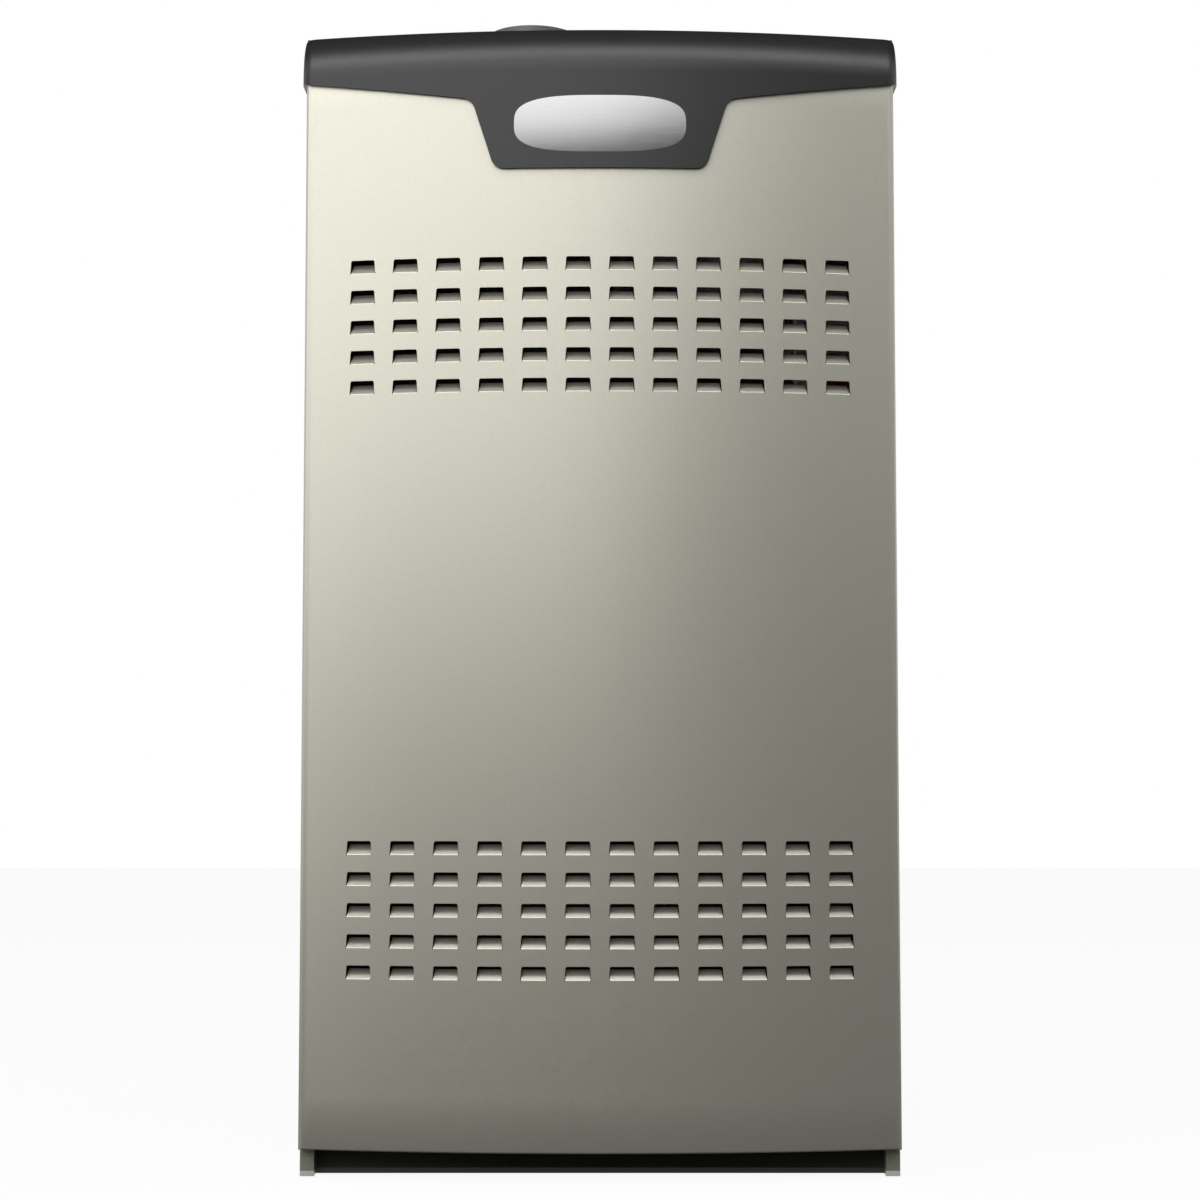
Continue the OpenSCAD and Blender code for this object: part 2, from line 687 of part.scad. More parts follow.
module top_panel() color("#c4c1ae") difference() {
    union() {
        block([-half_w, y_front, top_in], [half_w, y_split, cab_h]);
        block([-half_w + post_w + 0.5, y_front, cab_h - 25], [half_w - post_w - 0.5, y_front + sheet, cab_h]);
    }
    for (x = [-vent_x, intake_x]) translate([x, y_vent, top_in - over])
        sheet_cut(coupling_r + 0.2, round_fn);
}
y_split = y_heat + flange + 1;

supply_y1 = y_in_back - lining_t;
supply_y0 = supply_y1 - supply_d;

module supply_flange() color("#b9bbb9") {
    w = supply_w / 2;
    difference() {
        union() {
            block([-half_w, y_split, top_in], [half_w, y_back, cab_h]);
            block([-w - sheet, supply_y0 - sheet, top_in], [w + sheet, supply_y1 + sheet, cab_h + supply_rise]);
        }
        block([-w, supply_y0, top_in - over], [w, supply_y1, cab_h + supply_rise + over]);
    }
}

module blower_deck() color("#b9bbb9") difference() {
    union() {
        block([-in_x, y_rail, deck_low], [in_x, y_in_back, deck_top]);
        both_sides() block([in_x - sheet, y_rail, deck_low - 16], [in_x, y_in_back, deck_top]);
        block([-in_x, y_rail, deck_low - 20], [in_x, y_rail + sheet, deck_top]);
        block([-in_x, y_in_back - sheet, deck_low - 16], [in_x, y_in_back, deck_top]);
    }
    block([-scroll_w / 2 + 2, mouth_y0 + 2, deck_low - over], [scroll_w / 2 - 2, mouth_y1 - 2, deck_top + over]);
    at_side_screws(screw_r + 0.2, 4);
    for (x = door_screws) to_front(x, y_rail + 4, door_screw_z) cylinder(r = 2.5, h = 8);
    translate([harness_x, harness_y, deck_low - over]) sheet_cut(9);
}
harness_x = 20;
harness_y = y_rail + 16;

module vestibule_panel() color("#b9bbb9") difference() {
    block([-in_x, y_vest, deck_top], [in_x, y_heat + flange, top_in]);
    block([-in_x + sheet, y_heat, deck_top + sheet], [in_x - sheet, y_heat + flange + over, top_in - sheet]);
    for (x = cell_x) to_front(x, y_heat + over, burner_z) sheet_cut(cell_r + 0.2, round_fn);
    reach = header_wall + 1.5;
    block([-header_x + reach, y_vest - over, coil_z - header_half + reach],
        [header_x - reach, y_heat + over, coil_z + header_half - reach]);
    to_front(limit_x, y_heat + over, limit_z) sheet_cut(12.3);
    at_side_screws(screw_r + 0.2, 4);
}
limit_x = in_x - 71.5;
limit_z = cab_h - 110;

module cabinet_lining() color("#d4d6d8") difference() {
    block([-in_x, y_split, deck_top], [in_x, y_in_back, top_in]);
    block([-in_x + lining_t, y_split - over, deck_top - over], [in_x - lining_t, y_in_back - lining_t, top_in + over]);
}

module cabinet_screws() color("#9fa3a6") {
    side_screws_in_place();
    for (x = door_screws) {
        to_front(x, y_rail + 6, door_screw_z) cylinder(r = 2.3, h = 8);
        to_front(x, y_rail - 0.2 - sheet, door_screw_z) difference() {
            cylinder(r = 8, h = 9);
            translate([-0.8, -10, 6]) cube([1.6, 20, 4]);
        }
    }
}

// Hex washer head screws that hold the inner sheets to the side walls
module side_screws_in_place() for (m = [0, 1], s = side_screws) mirror([m, 0, 0]) {
    to_right(half_w - 2 * sheet - 3, s[0], s[1]) cylinder(r = screw_r, h = 2 * sheet + 3);
    to_right(half_w, s[0], s[1]) cylinder(r = 4.4, h = 0.7);
    to_right(half_w, s[0], s[1]) cylinder(r = 3.2, h = 2.2, $fn = 6);
}

// Rubber ring in a sheet metal hole of radius r, along +Z, with the sheet from z = 0 up
module grommet(r, bore) difference() {
    union() {
        translate([0, 0, -1.5]) cylinder(r = r + 2.5, h = 1.5);
        translate([0, 0, -1.5]) cylinder(r = r - 0.1, h = sheet + 3);
        translate([0, 0, sheet]) cylinder(r = r + 2.5, h = 1.5);
    }
    translate([0, 0, -3]) cylinder(r = bore, h = sheet + 6);
}

module hole_grommets() color("#222324") {
    to_right(in_x, gas_hole[0], gas_hole[1]) grommet(gas_hole_r, gas_hole_r - 4);
    translate([harness_x, harness_y, deck_low]) grommet(9, 7);
    // Plug in the unused gas hole of the left side wall
    to_right(-half_w, gas_hole[0], gas_hole[1]) {
        translate([0, 0, -1.5]) cylinder(r = gas_hole_r + 3, h = 1.5);
        cylinder(r = gas_hole_r - 0.2, h = sheet + 2);
    }
}

// Path of one heat exchanger cell in its own plane, drawn at radius r: three passes and a downcomer
module cell_path(r, reach) {
    y_rear = blower_y + 195;
    half_pass = pass_pitch / 2;
    y_near = y_heat + half_pass + cell_r + 4.5;
    y_turn = y_down - bend_r;
    to_back(y_vest - reach, burner_z) cylinder(r = r, h = y_rear - y_vest + reach, $fn = round_fn);
    to_back(y_near, burner_z + pass_pitch) cylinder(r = r, h = y_rear - y_near, $fn = round_fn);
    to_back(y_near, top_pass_z) cylinder(r = r, h = y_turn - y_near, $fn = round_fn);
    translate([0, y_rear, burner_z + half_pass]) arc_tube(r, half_pass, -90, 180);
    translate([0, y_near, burner_z + 3 * half_pass]) arc_tube(r, half_pass, 90, 180);
    translate([0, y_turn, top_pass_z - bend_r]) arc_tube(r, bend_r, 0, 90);
    z_low = coil_z + header_half - 8 - reach;
    translate([0, y_down, z_low]) cylinder(r = r, h = top_pass_z - bend_r - z_low, $fn = round_fn);
}

// A round cut of radius r through a sheet, along +Z
module sheet_cut(r, sides = small_fn) cylinder(r = r, h = sheet + 2 * over, $fn = sides);
// Draws on the right and mirrored on the left
module both_sides() for (m = [0, 1]) mirror([m, 0, 0]) children();

// Puts what is drawn along +Z so that it points to the back
module to_back(y, z) translate([0, y, z]) rotate([-90, 0, 0]) children();

// Bent rod in the plane of Y and Z: radius r, bent about the origin at radius r_bend, from angle a0
module arc_tube(r, r_bend, a0, sweep) rotate([90, 0, 90]) rotate([0, 0, a0])
    rotate_extrude(angle = sweep, $fn = round_fn) translate([r_bend, 0]) circle(r = r, $fn = small_fn);

module heat_exchanger() color("#a9a49a") for (x = cell_x) translate([x, 0, 0]) difference() {
    union() {
        cell_path(cell_r, 0);
        // Welded seam between the two pressed halves
        block([-0.8, y_heat + 8, burner_z - cell_r - seam_w], [0.8, y_down - bend_r, top_pass_z + cell_r + seam_w]);
    }
    cell_path(cell_r - cell_wall, over);
}

module collector_box() color("#b3b0a6") {
    z0 = coil_z - header_half;
    z1 = coil_z + header_half;
    y1 = y_collector + collector_d;
    foot_x = header_x - 42;
    difference() {
        block([-header_x, y_collector, z0], [header_x, y1, z1]);
        block([-header_x + sheet, y_collector + sheet, z0 + sheet], [header_x - sheet, y1 - sheet, z1 - sheet]);
        for (x = cell_x) translate([x, y_down, z1 - sheet - over])
            sheet_cut(cell_r + 0.2, round_fn);
        at_coil_tubes(y_collector - over) sheet_cut(coil_r + 0.1);
    }
    both_sides() {
        block([foot_x, y_collector + 10, deck_top], [foot_x + 2, y1 - 10, z0]);
        block([foot_x, y_collector + 10, deck_top], [foot_x + 20, y1 - 10, deck_top + 2]);
    }
}

// Puts what is drawn along +Z at each tube of the secondary coil, pointing to the back from the plane y
module at_coil_tubes(y) for (c = [0 : coil_cols - 1], r = [0 : coil_rows - 1])
    translate([(c - (coil_cols - 1) / 2) * coil_px, 0, 0])
        to_back(y, coil_z + (r - (coil_rows - 1) / 2) * coil_pz) children();

// Tube plate, side plates, tubes and fins, each a piece of its own
module secondary_coil() color("#b8bcc0") {
    fin_x = header_x - 4;
    fin_z = header_half - 3;
    end_y = y_collector + sheet + 3;
    difference() {
        union() {
            block([-header_x - 3, y_heat, coil_z - header_half - 2],
                [header_x + 3, y_heat + 1.5, coil_z + header_half + 2]);
            both_sides()
                block([fin_x, y_heat, coil_z - fin_z], [fin_x + 1.2, y_collector - 0.5, coil_z + fin_z]);
            at_coil_tubes(y_heat) cylinder(r = coil_r, h = end_y - y_heat);
        }
        at_coil_tubes(y_heat - over) cylinder(r = coil_r - 0.9, h = end_y - y_heat + 2 * over);
    }
    first = y_heat + 14;
    pitch = (y_collector - first - 10) / (fins - 1);
    for (i = [0 : fins - 1]) difference() {
        block([-fin_x, first + i * pitch, coil_z - fin_z], [fin_x, first + i * pitch + fin_t, coil_z + fin_z]);
        at_coil_tubes(first + i * pitch - over) cylinder(r = coil_r + 0.05, h = fin_t + 2 * over);
    }
}

header_y = y_vest - header_d;
drain_x = header_x - 27;
drain_y = y_vest - header_d / 2;
tap_x = 20;
tap_z = [coil_z - 38, coil_z + 38];

module cold_end_header() color("#26282a") difference() {
    z0 = coil_z - header_half;
    z1 = coil_z + header_half;
    union() {
        block([-header_x, header_y, z0], [header_x, y_vest, z1]);
        for (x = [press_x - 35 : 24 : press_x + 61]) block([x, header_y - 2, z0 + 8], [x + 2, header_y, z1 - 8]);
        translate([drain_x, drain_y, z0 - 14]) cylinder(r = 7, h = 16);
        for (z = tap_z) to_front(tap_x, header_y + 1, z) cylinder(r = 3, h = 12);
    }
    block([-header_x + header_wall, header_y + header_wall, z0 + header_wall],
        [header_x - header_wall, y_vest + over, z1 - header_wall]);
    to_front(ind_x, header_y + header_wall + over, ind_z) cylinder(r = 26, h = header_wall + 2 * over, $fn = round_fn);
    translate([drain_x, drain_y, z0 - 14 - over]) cylinder(r = 5, h = 14 + header_wall + 2 * over);
    for (z = tap_z) to_front(tap_x, header_y + header_wall + over, z)
        cylinder(r = 1.5, h = header_wall + 14);
}

rail_y = y_cover + 50;
spark_y = y_vest - 8;

module burner_box() color("#b9bbb9") {
    z1 = box_z0 + box_h;
    difference() {
        block([-box_x, y_cover, box_z0], [box_x, y_vest, z1]);
        block([-box_x + sheet, y_cover - over, box_z0 + sheet], [box_x - sheet, y_vest - sheet, z1 - sheet]);
        for (x = cell_x) to_front(x, y_vest + over, burner_z) sheet_cut(cell_r - cell_wall, round_fn);
        for (x = [cell_x[0], cell_x[2]]) translate([x, spark_y, z1 - sheet - over]) cylinder(r = 5, h = 2 * over + sheet);
    }
    // Notched rail that carries the burners
    difference() {
        block([-box_x + sheet, rail_y, box_z0 + sheet], [box_x - sheet, rail_y + 1.5, burner_z]);
        for (x = cell_x) to_front(x, rail_y + 4, burner_z) cylinder(r = burner_r + 0.15, h = 8, $fn = round_fn);
    }
}

sight_x = cell_pitch / 2;
sight_z = burner_z + 22;

module burner_cover() color("#aeb1b1") difference() {
    union() {
        block([-box_x, y_cover - sheet, box_z0], [box_x, y_cover, box_z0 + box_h]);
        for (x = [10 - box_x, box_x - 10], z = [box_z0 + 10, box_z0 + box_h - 10])
            to_front(x, y_cover - sheet, z) cylinder(r = 4, h = 2.5, $fn = 6);
    }
    for (x = cell_x) to_front(x, y_cover + over, burner_z) sheet_cut(7.5);
    to_front(sight_x, y_cover + over, sight_z) sheet_cut(9);
}

module burners() color("#9b9d9f") {
    y0 = y_cover + 7;
    l = y_vest - 14 - y0;
    throat = burner_r;
    head = cell_r;
    wall = 1.2;
    for (i = [0 : 2]) translate([cell_x[i], 0, burner_z]) {
        to_back(y0, 0) rotate_extrude($fn = round_fn) polygon([
            [throat + 5, 0], [throat, 14], [throat, 56], [head, l - 16], [head, l],
            [head - wall, l], [head - wall, l - 16], [throat - wall, 56], [throat - wall, 14], [throat + 5 - wall, 0]]);
        // Wings that carry the flame over to the next burner
        both_sides() for (z = [-5, 4])
            block([head - wall / 2, y0 + l - 14, z], [cell_pitch / 2 - 0.1, y0 + l, z + 1]);
    }
}

valve_left = valve_x - valve_w / 2;

module gas_manifold() color("#55585a") difference() {
    x0 = cell_x[0] - 22;
    union() {
        to_right(x0, manifold_y, burner_z) cylinder(r = manifold_r, h = valve_left + 12 - x0, $fn = round_fn);
        to_right(x0 - 4, manifold_y, burner_z) cylinder(r = manifold_r + 3, h = 16, $fn = round_fn);
        for (x = [x0 + 1, box_x - 16]) {
            block([x, manifold_y - 2, burner_z - manifold_r - 14], [x + 14, manifold_y, burner_z - manifold_r + 2]);
            block([x, manifold_y - 2, burner_z - manifold_r - 14], [x + 14, y_cover - sheet, burner_z - manifold_r - 12]);
        }
    }
    to_right(x0 + 4, manifold_y, burner_z) cylinder(r = manifold_r - 2.7, h = valve_left + 20 - x0, $fn = round_fn);
    for (x = cell_x) translate([x, 0, 0]) to_back(manifold_y, burner_z) cylinder(r = 4.6, h = 20);
}

module gas_orifices() color("#c9a24a") for (x = cell_x) translate([x, 0, 0]) difference() {
    tip = y_cover + 4;
    flat = manifold_y + manifold_r;
    union() {
        to_back(flat - 4, burner_z) cylinder(r = 4.5, h = tip - flat + 4);
        to_back(flat + 0.6, burner_z) cylinder(r = 6.8, h = 5, $fn = 6);
    }
    to_back(flat - 5, burner_z) cylinder(r = 2.4, h = tip - flat + 2);
    to_back(flat, burner_z) cylinder(r = 0.9, h = tip - flat + over, $fn = 16);
}

valve_front = manifold_y - 24;
valve_top = valve_z0 + valve_h;
gas_port_z = valve_z0 - 12;
knob_z = valve_z0 + 20;

module gas_valve() color("#9fa2a5") difference() {
    union() {
        translate([0, 0, valve_z0]) linear_extrude(valve_h) polygon(rounded(
            [[valve_left, valve_front], [valve_left + valve_w, valve_front],
                [valve_left + valve_w, valve_front + valve_d], [valve_left, valve_front + valve_d]], [5, 5, 5, 5], 4));
        translate([valve_x, manifold_y, gas_port_z]) cylinder(r = 15, h = 14, $fn = round_fn);
        to_right(valve_left - 6, manifold_y, burner_z) cylinder(r = 15, h = 8, $fn = round_fn);
        // Solenoid coil and regulator tower
        translate([0, 0, valve_top]) linear_extrude(22) polygon(rounded(
            [[valve_x - 20, valve_front + 8], [valve_x + 16, valve_front + 8],
                [valve_x + 16, valve_front + 44], [valve_x - 20, valve_front + 44]], [3, 3, 3, 3], 4));
        translate([valve_x + 21, manifold_y + 22, valve_top]) cylinder(r = 7, h = 16);
        for (x = [-18, 18]) to_front(valve_x + x, valve_front + over, valve_top - 12) cylinder(r = 4, h = 4, $fn = 6);
    }
    translate([valve_x, manifold_y, gas_port_z - over]) cylinder(r = gas_port_r, h = 18 + over, $fn = round_fn);
    to_right(valve_left - 6 - over, manifold_y, burner_z) cylinder(r = manifold_r + 0.1, h = 22 + over, $fn = round_fn);
    to_front(valve_x, valve_front + 9, knob_z) cylinder(r = 4 + running_gap, h = 20);
}

module gas_valve_knob() color("#a33a2c") {
    y0 = valve_front - 0.3;
    to_front(valve_x, valve_front + 7, knob_z) cylinder(r = 4, h = 10);
    to_front(valve_x, y0, knob_z) difference() {
        union() {
            cylinder(r = knob_r, h = knob_h * 0.5, $fn = round_fn);
            intersection() {
                cylinder(r = knob_r, h = knob_h, $fn = round_fn);
                translate([-4, -knob_r, 0]) cube([8, 2 * knob_r, knob_h]);
            }
        }
        for (a = [0 : 30 : 330]) rotate([0, 0, a + 15]) translate([knob_r + 1, 0, -over])
            cylinder(r = 2, h = knob_h);
    }
}

// A rod of radius r in front of the burner at x, with its ceramic body and its bracket on the burner box, towards side
module probe(x, r, side) {
    z1 = box_z0 + box_h;
    translate([x, spark_y, z1 - 5]) cylinder(r = 4.6, h = 22);
    block([x - 13 + side * 9, spark_y - 6.5, z1], [x + 13 + side * 9, spark_y + 6.5, z1 + 1.2]);
    translate([x, spark_y, burner_z - 5]) cylinder(r = r, h = z1 - burner_z);
}
module ignitor() color("#e6e2d8") probe(cell_x[0], 2.4, 1);
module flame_sensor() color("#e6e2d8") probe(cell_x[2], 1.4, -1);

rollout_x = [-50, 50];
rollout_y = y_cover + 12;
rollout_z = box_z0 + box_h;
button_r = 3;

module rollout_switches() color("#2a2a2c") for (x = rollout_x) difference() {
    union() {
        block([x - 16, rollout_y + 4, rollout_z], [x + 16, rollout_y + 6, rollout_z + 4]);
        block([x - 11, rollout_y, rollout_z], [x + 11, rollout_y + 18, rollout_z + 15]);
        for (s = [-1, 1]) block([x + s * 5 - 0.4, rollout_y + 18, rollout_z + 5], [x + s * 5 + 0.4, rollout_y + 26, rollout_z + 11]);
    }
    to_front(x, rollout_y + 10, rollout_z + 8) cylinder(r = button_r + running_gap, h = 12);
}

module reset_button(x) color("#b8322a") {
    to_front(x, rollout_y + 7, rollout_z + 8) cylinder(r = button_r, h = 10);
}
module reset_button_left() reset_button(rollout_x[0]);
module reset_button_right() reset_button(rollout_x[1]);

module limit_switch() color("#c9b27a") {
    to_front(limit_x, y_heat + 10, limit_z) cylinder(r = 12, h = 12 + sheet);
    block([limit_x - 24, y_vest - 1.5, limit_z - 14], [limit_x + 24, y_vest, limit_z + 14]);
    to_front(limit_x, y_vest - 1, limit_z) cylinder(r = 9, h = 10);
    for (s = [-1, 1]) block([limit_x + s * 4 - 0.4, y_vest - 20, limit_z - 3], [limit_x + s * 4 + 0.4, y_vest - 10, limit_z + 3]);
}

module inducer_gasket() color("#3a3a3a") to_front(ind_x, header_y, ind_z) pipe(42, 28, 2);

// A scroll housing drawn in X and Z, from the plane y forwards by d
module ind_prism(y, d, w, top) translate([ind_x, y, ind_z]) rotate([90, 0, 0]) linear_extrude(d)
    polygon(scroll_outline(ind_r0, ind_r1, ind_phi, top, w));

module inducer_housing() color("#8f9497") difference() {
    union() {
        ind_prism(ind_y_back, ind_d, 0, ind_top);
        for (a = [60, 150, 215]) to_front(ind_x + 70 * sin(a), ind_y_back, ind_z + 70 * cos(a)) cylinder(r = 8, h = 5);
        translate([riser_x, y_riser, ind_socket_z]) cylinder(r = socket_r + 3, h = 28, $fn = round_fn);
    }
    ind_prism(ind_y_back - ind_wall, ind_d - 2 * ind_wall, ind_wall, ind_top - ind_wall);
    translate([riser_x, y_riser, ind_socket_z + 3]) cylinder(r = socket_r, h = 30, $fn = round_fn);
    translate([riser_x, y_riser, ind_socket_z - ind_wall - over]) cylinder(r = 19, h = 10, $fn = round_fn);
    to_front(ind_x, ind_y_back + over, ind_z) cylinder(r = 26, h = ind_wall + 2 * over, $fn = round_fn);
    to_front(ind_x, ind_y_front + ind_wall + over, ind_z) cylinder(r = 10, h = ind_wall + 2 * over);
}

ind_wheel_y = ind_y_front + ind_wall + 6;

module inducer_wheel() color("#2f3133") difference() {
    union() {
        translate([ind_x, 0, 0]) to_back(ind_wheel_y, ind_z) {
            cylinder(r = ind_wheel_r, h = 2, $fn = round_fn);
            cylinder(r = 10, h = 16);
            for (i = [0 : ind_blades - 1]) rotate([0, 0, 360 * i / ind_blades])
                translate([14, -0.75, 1]) cube([ind_wheel_r - 14.5, 1.5, 21]);
            translate([0, 0, 20]) pipe(ind_wheel_r, ind_wheel_r - 10, 2);
        }
    }
    translate([ind_x, 0, 0]) to_back(ind_wheel_y - over, ind_z) cylinder(r = ind_shaft_r + running_gap, h = 30);
}

module inducer_shaft() color("#d0d2d4")
    translate([ind_x, 0, 0]) to_back(ind_y_front - 34, ind_z) cylinder(r = ind_shaft_r, h = ind_wall + 6 + 34 + 14);

module inducer_motor() color("#4a4d50") difference() {
    union() {
        to_front(ind_x, ind_y_front, ind_z) cylinder(r = ind_motor_r + 8, h = 2, $fn = round_fn);
        to_front(ind_x, ind_y_front - 2, ind_z) cylinder(r = ind_motor_r - 8, h = ind_motor_l, $fn = round_fn);
        to_front(ind_x, ind_y_front - 14, ind_z) cylinder(r = ind_motor_r, h = ind_motor_l - 24, $fn = round_fn);
        for (a = [45 : 90 : 315]) to_front(ind_x + (ind_motor_r - 3) * cos(a), ind_y_front - 1, ind_z + (ind_motor_r - 3) * sin(a))
            cylinder(r = 2.5, h = ind_motor_l - 4);
    }
    to_front(ind_x, ind_y_front + over, ind_z) cylinder(r = ind_shaft_r + running_gap, h = 38 + over);
}

coupling_stop = cab_h + coupling_rise - socket_d;

elbow_hub = 20;

// A vent elbow from the origin up and towards +X, with a hub at its far end.
// Its near end points down: a hub if tip is 0, or else a spigot of that length
module vent_elbow(tip) difference() {
    near = tip > 0 ? tip : elbow_hub;
    union() {
        elbow_bend(coupling_r - 1.3);
        translate([0, 0, -near]) cylinder(r = tip > 0 ? pipe_r : coupling_r, h = near, $fn = round_fn);
        at_elbow_end() cylinder(r = coupling_r, h = elbow_hub, $fn = round_fn);
    }
    elbow_bend(pipe_r - pipe_wall - 0.6);
    translate([0, 0, -near - over]) cylinder(r = tip > 0 ? pipe_r - pipe_wall : socket_r, h = near + over, $fn = round_fn);
    at_elbow_end() cylinder(r = socket_r, h = elbow_hub + over, $fn = round_fn);
}
module elbow_bend(r) translate([bend_r, 0, 0]) rotate([90, 0, 0]) rotate([0, 0, 180 - turn])
    rotate_extrude(angle = turn, $fn = round_fn) translate([bend_r, 0]) circle(r = r, $fn = round_fn);
module at_elbow_end() translate([bend_r * (1 - cos(turn)), 0, bend_r * sin(turn)]) rotate([0, turn, 0]) children();

module exhaust_pipe() color("#6d7073") translate([riser_x, y_riser, 0]) rotate([0, 0, offset_turn]) {
    z_start = ind_socket_z + 3.2;
    z_end = coupling_stop - 4.2;
    z1 = riser_z_low - bend_t;
    z2 = riser_z_top + bend_t;
    gap = 0.3;
    translate([0, 0, z_start]) pipe(pipe_r, pipe_r - pipe_wall, z1 - gap - z_start);
    translate([0, 0, z1]) vent_elbow(0);
    translate([0, 0, z1]) at_elbow_end() translate([0, 0, gap])
        pipe(pipe_r, pipe_r - pipe_wall, offset_l / cos(slope) - 2 * bend_t - 2 * gap);
    translate([offset_l, 0, z2]) rotate([180, 0, 180]) vent_elbow(z_end - z2);
}

// A pipe coupling seated in the top panel, its rim at the height rise above the casing and its socket's floor at stop
module coupling(rise, stop) difference() {
    translate([0, 0, cab_h]) union() {
        translate([0, 0, -16]) cylinder(r = coupling_r, h = rise + 16, $fn = round_fn);
        cylinder(r = coupling_flange_r, h = 3, $fn = round_fn);
        for (a = [30 : 120 : 270]) rotate([0, 0, a]) translate([coupling_flange_r - 6, 0, 0]) cylinder(r = 3, h = 5, $fn = 6);
    }
    translate([0, 0, stop]) cylinder(r = socket_r, h = rise + 20, $fn = round_fn);
    translate([0, 0, cab_h - 20]) cylinder(r = pipe_r - pipe_wall, h = rise + 24, $fn = round_fn);
}

module exhaust_coupling() color("#4d4f50") translate([-vent_x, y_vent, 0]) difference() {
    coupling(coupling_rise, coupling_stop);
    translate([0, 0, cab_h - 16 - over]) cylinder(r = socket_r, h = coupling_stop - 4 - cab_h + 16 + over, $fn = round_fn);
}

module intake_coupling() color("#4d4f50") translate([intake_x, y_vent, 0]) coupling(intake_rise, cab_h - 8);

press_x = header_x - 97;
press_y = header_y - 2;

module pressure_switch() color("#303234") difference() {
    union() {
        block([press_x - 28, press_y - 1.2, coil_z - 42], [press_x + 28, press_y, coil_z + 42]);
        to_front(press_x, press_y - 1.2, coil_z) cylinder(r = switch_r, h = 7, $fn = round_fn);
        to_front(press_x, press_y - 8, coil_z) cylinder(r = switch_r - 2, h = 7, $fn = round_fn);
        to_front(press_x, press_y - 15, coil_z) cylinder(r = switch_r * 0.5, h = 6);
        for (m = [0, 1]) translate([press_x, press_y - 8, coil_z]) mirror([0, 0, m]) cylinder(r = 3, h = switch_r + 10);
        for (s = [-1, 1]) block([press_x + s * 6 - 3, press_y - 28, coil_z - 0.4], [press_x + s * 6 + 3, press_y - 20, coil_z + 0.4]);
    }
    for (m = [0, 1]) translate([press_x, press_y - 8, coil_z]) mirror([0, 0, m])
        translate([0, 0, switch_r + 2]) cylinder(r = 1.5, h = 10);
}

// Hose from a header tap to a pressure switch port, up for s = 1 and down for s = -1
module pressure_hose(s) {
    tap_end = header_y - 11;
    port_z = switch_r + 10;
    tap_rise = tap_z[1] - coil_z;
    swept(smooth([for (p = [[tap_x, tap_end - 0.4, tap_rise], [tap_x, tap_end - 4, tap_rise],
        [tap_x, tap_end - 9, tap_rise], [tap_x + 10, tap_end - 22, 50], [press_x - 32, tap_end - 18, 64],
        [press_x - 8, press_y - 10, 64], [press_x, press_y - 8, port_z + 10],
        [press_x, press_y - 8, port_z + 0.4]]) [p.x, p.y, coil_z + s * p.z]]), 4, 8);
}

module rubber_hoses() color("#1c1d1e") {
    for (s = [-1, 1]) pressure_hose(s);
    // Sleeve between the header's drain and the trap
    translate([drain_x, drain_y, trap_top + 2]) pipe(9.5, 7.1, coil_z - header_half - trap_top - 4, small_fn);
}

trap_top = coil_z - header_half - 26;
trap_x0 = drain_x - 25;
drain_pipe_r = 10.75;
// The drain socket ends just outside the right side wall
drain_end = half_w + 2.5;
drain_depth = 24.5;

module condensate_trap() color("#2e3032") {
    y0 = drain_hole[0] - 19;
    y1 = drain_hole[0] + 19;
    difference() {
        union() {
            translate([0, 0, deck_top]) linear_extrude(trap_top - deck_top) polygon(rounded(
                [[trap_x0, y0], [drain_x + 26, y0], [drain_x + 26, y1], [trap_x0, y1]], [6, 6, 6, 6], 4));
            translate([drain_x, drain_y, trap_top - over]) cylinder(r = 7, h = 9);
            to_right(drain_x + 20, drain_hole[0], drain_hole[1])
                cylinder(r = drain_pipe_r + 1.2, h = drain_end - drain_x - 20, $fn = round_fn);
        }
        translate([drain_x, drain_y, trap_top - 12]) cylinder(r = 5, h = 30);
        to_right(drain_end - drain_depth, drain_hole[0], drain_hole[1])
            cylinder(r = drain_pipe_r, h = drain_depth + over, $fn = round_fn);
    }
}

// A scroll housing drawn in Y and Z about the blower shaft, from x0 for the width w
module scroll_prism(x0, w, inset, top) translate([x0, blower_y, blower_z]) rotate([90, 0, 90])
    linear_extrude(w) mirror([1, 0]) polygon(scroll_outline(scroll_r0, scroll_r1, scroll_phi, top, inset));

module blower_housing() color("#b9bbb9") {
    top = deck_low - blower_z;
    w = scroll_w / 2;
    difference() {
        union() {
            scroll_prism(-w, scroll_w, 0, top);
            both_sides() to_right(w - 10, blower_y, blower_z)
                cylinder(r = inlet_r + 1.2, h = 10, $fn = arc_fn);
            // Flange that hangs under the deck
            block([-w - flange, mouth_y0 - flange, deck_low - 1.2], [w + flange, mouth_y1 + flange, deck_low]);
        }
        scroll_prism(-w + sheet, scroll_w - 2 * sheet, sheet, top + over);
        to_right(-w - over, blower_y, blower_z) cylinder(r = inlet_r, h = scroll_w + 2 * over, $fn = arc_fn);
    }
    both_sides() to_right(w - 10, blower_y, blower_z) pipe(inlet_r + 1.2, inlet_r, 10, arc_fn);
}

// Plan of one forward curved blade at the angle a, drawn about the shaft
function blade(a) =
    let (r = [wheel_r - blade_d, wheel_r - blade_d * 0.45, wheel_r - 0.4], lean = [0, 2.2, 8], thick = 0.9)
    concat([for (i = [0 : 2]) r[i] * [cos(a + lean[i]), sin(a + lean[i])]],
        [for (i = [2 : -1 : 0]) let (b = a + lean[i] + thick / r[i] * 180 / PI) r[i] * [cos(b), sin(b)]]);

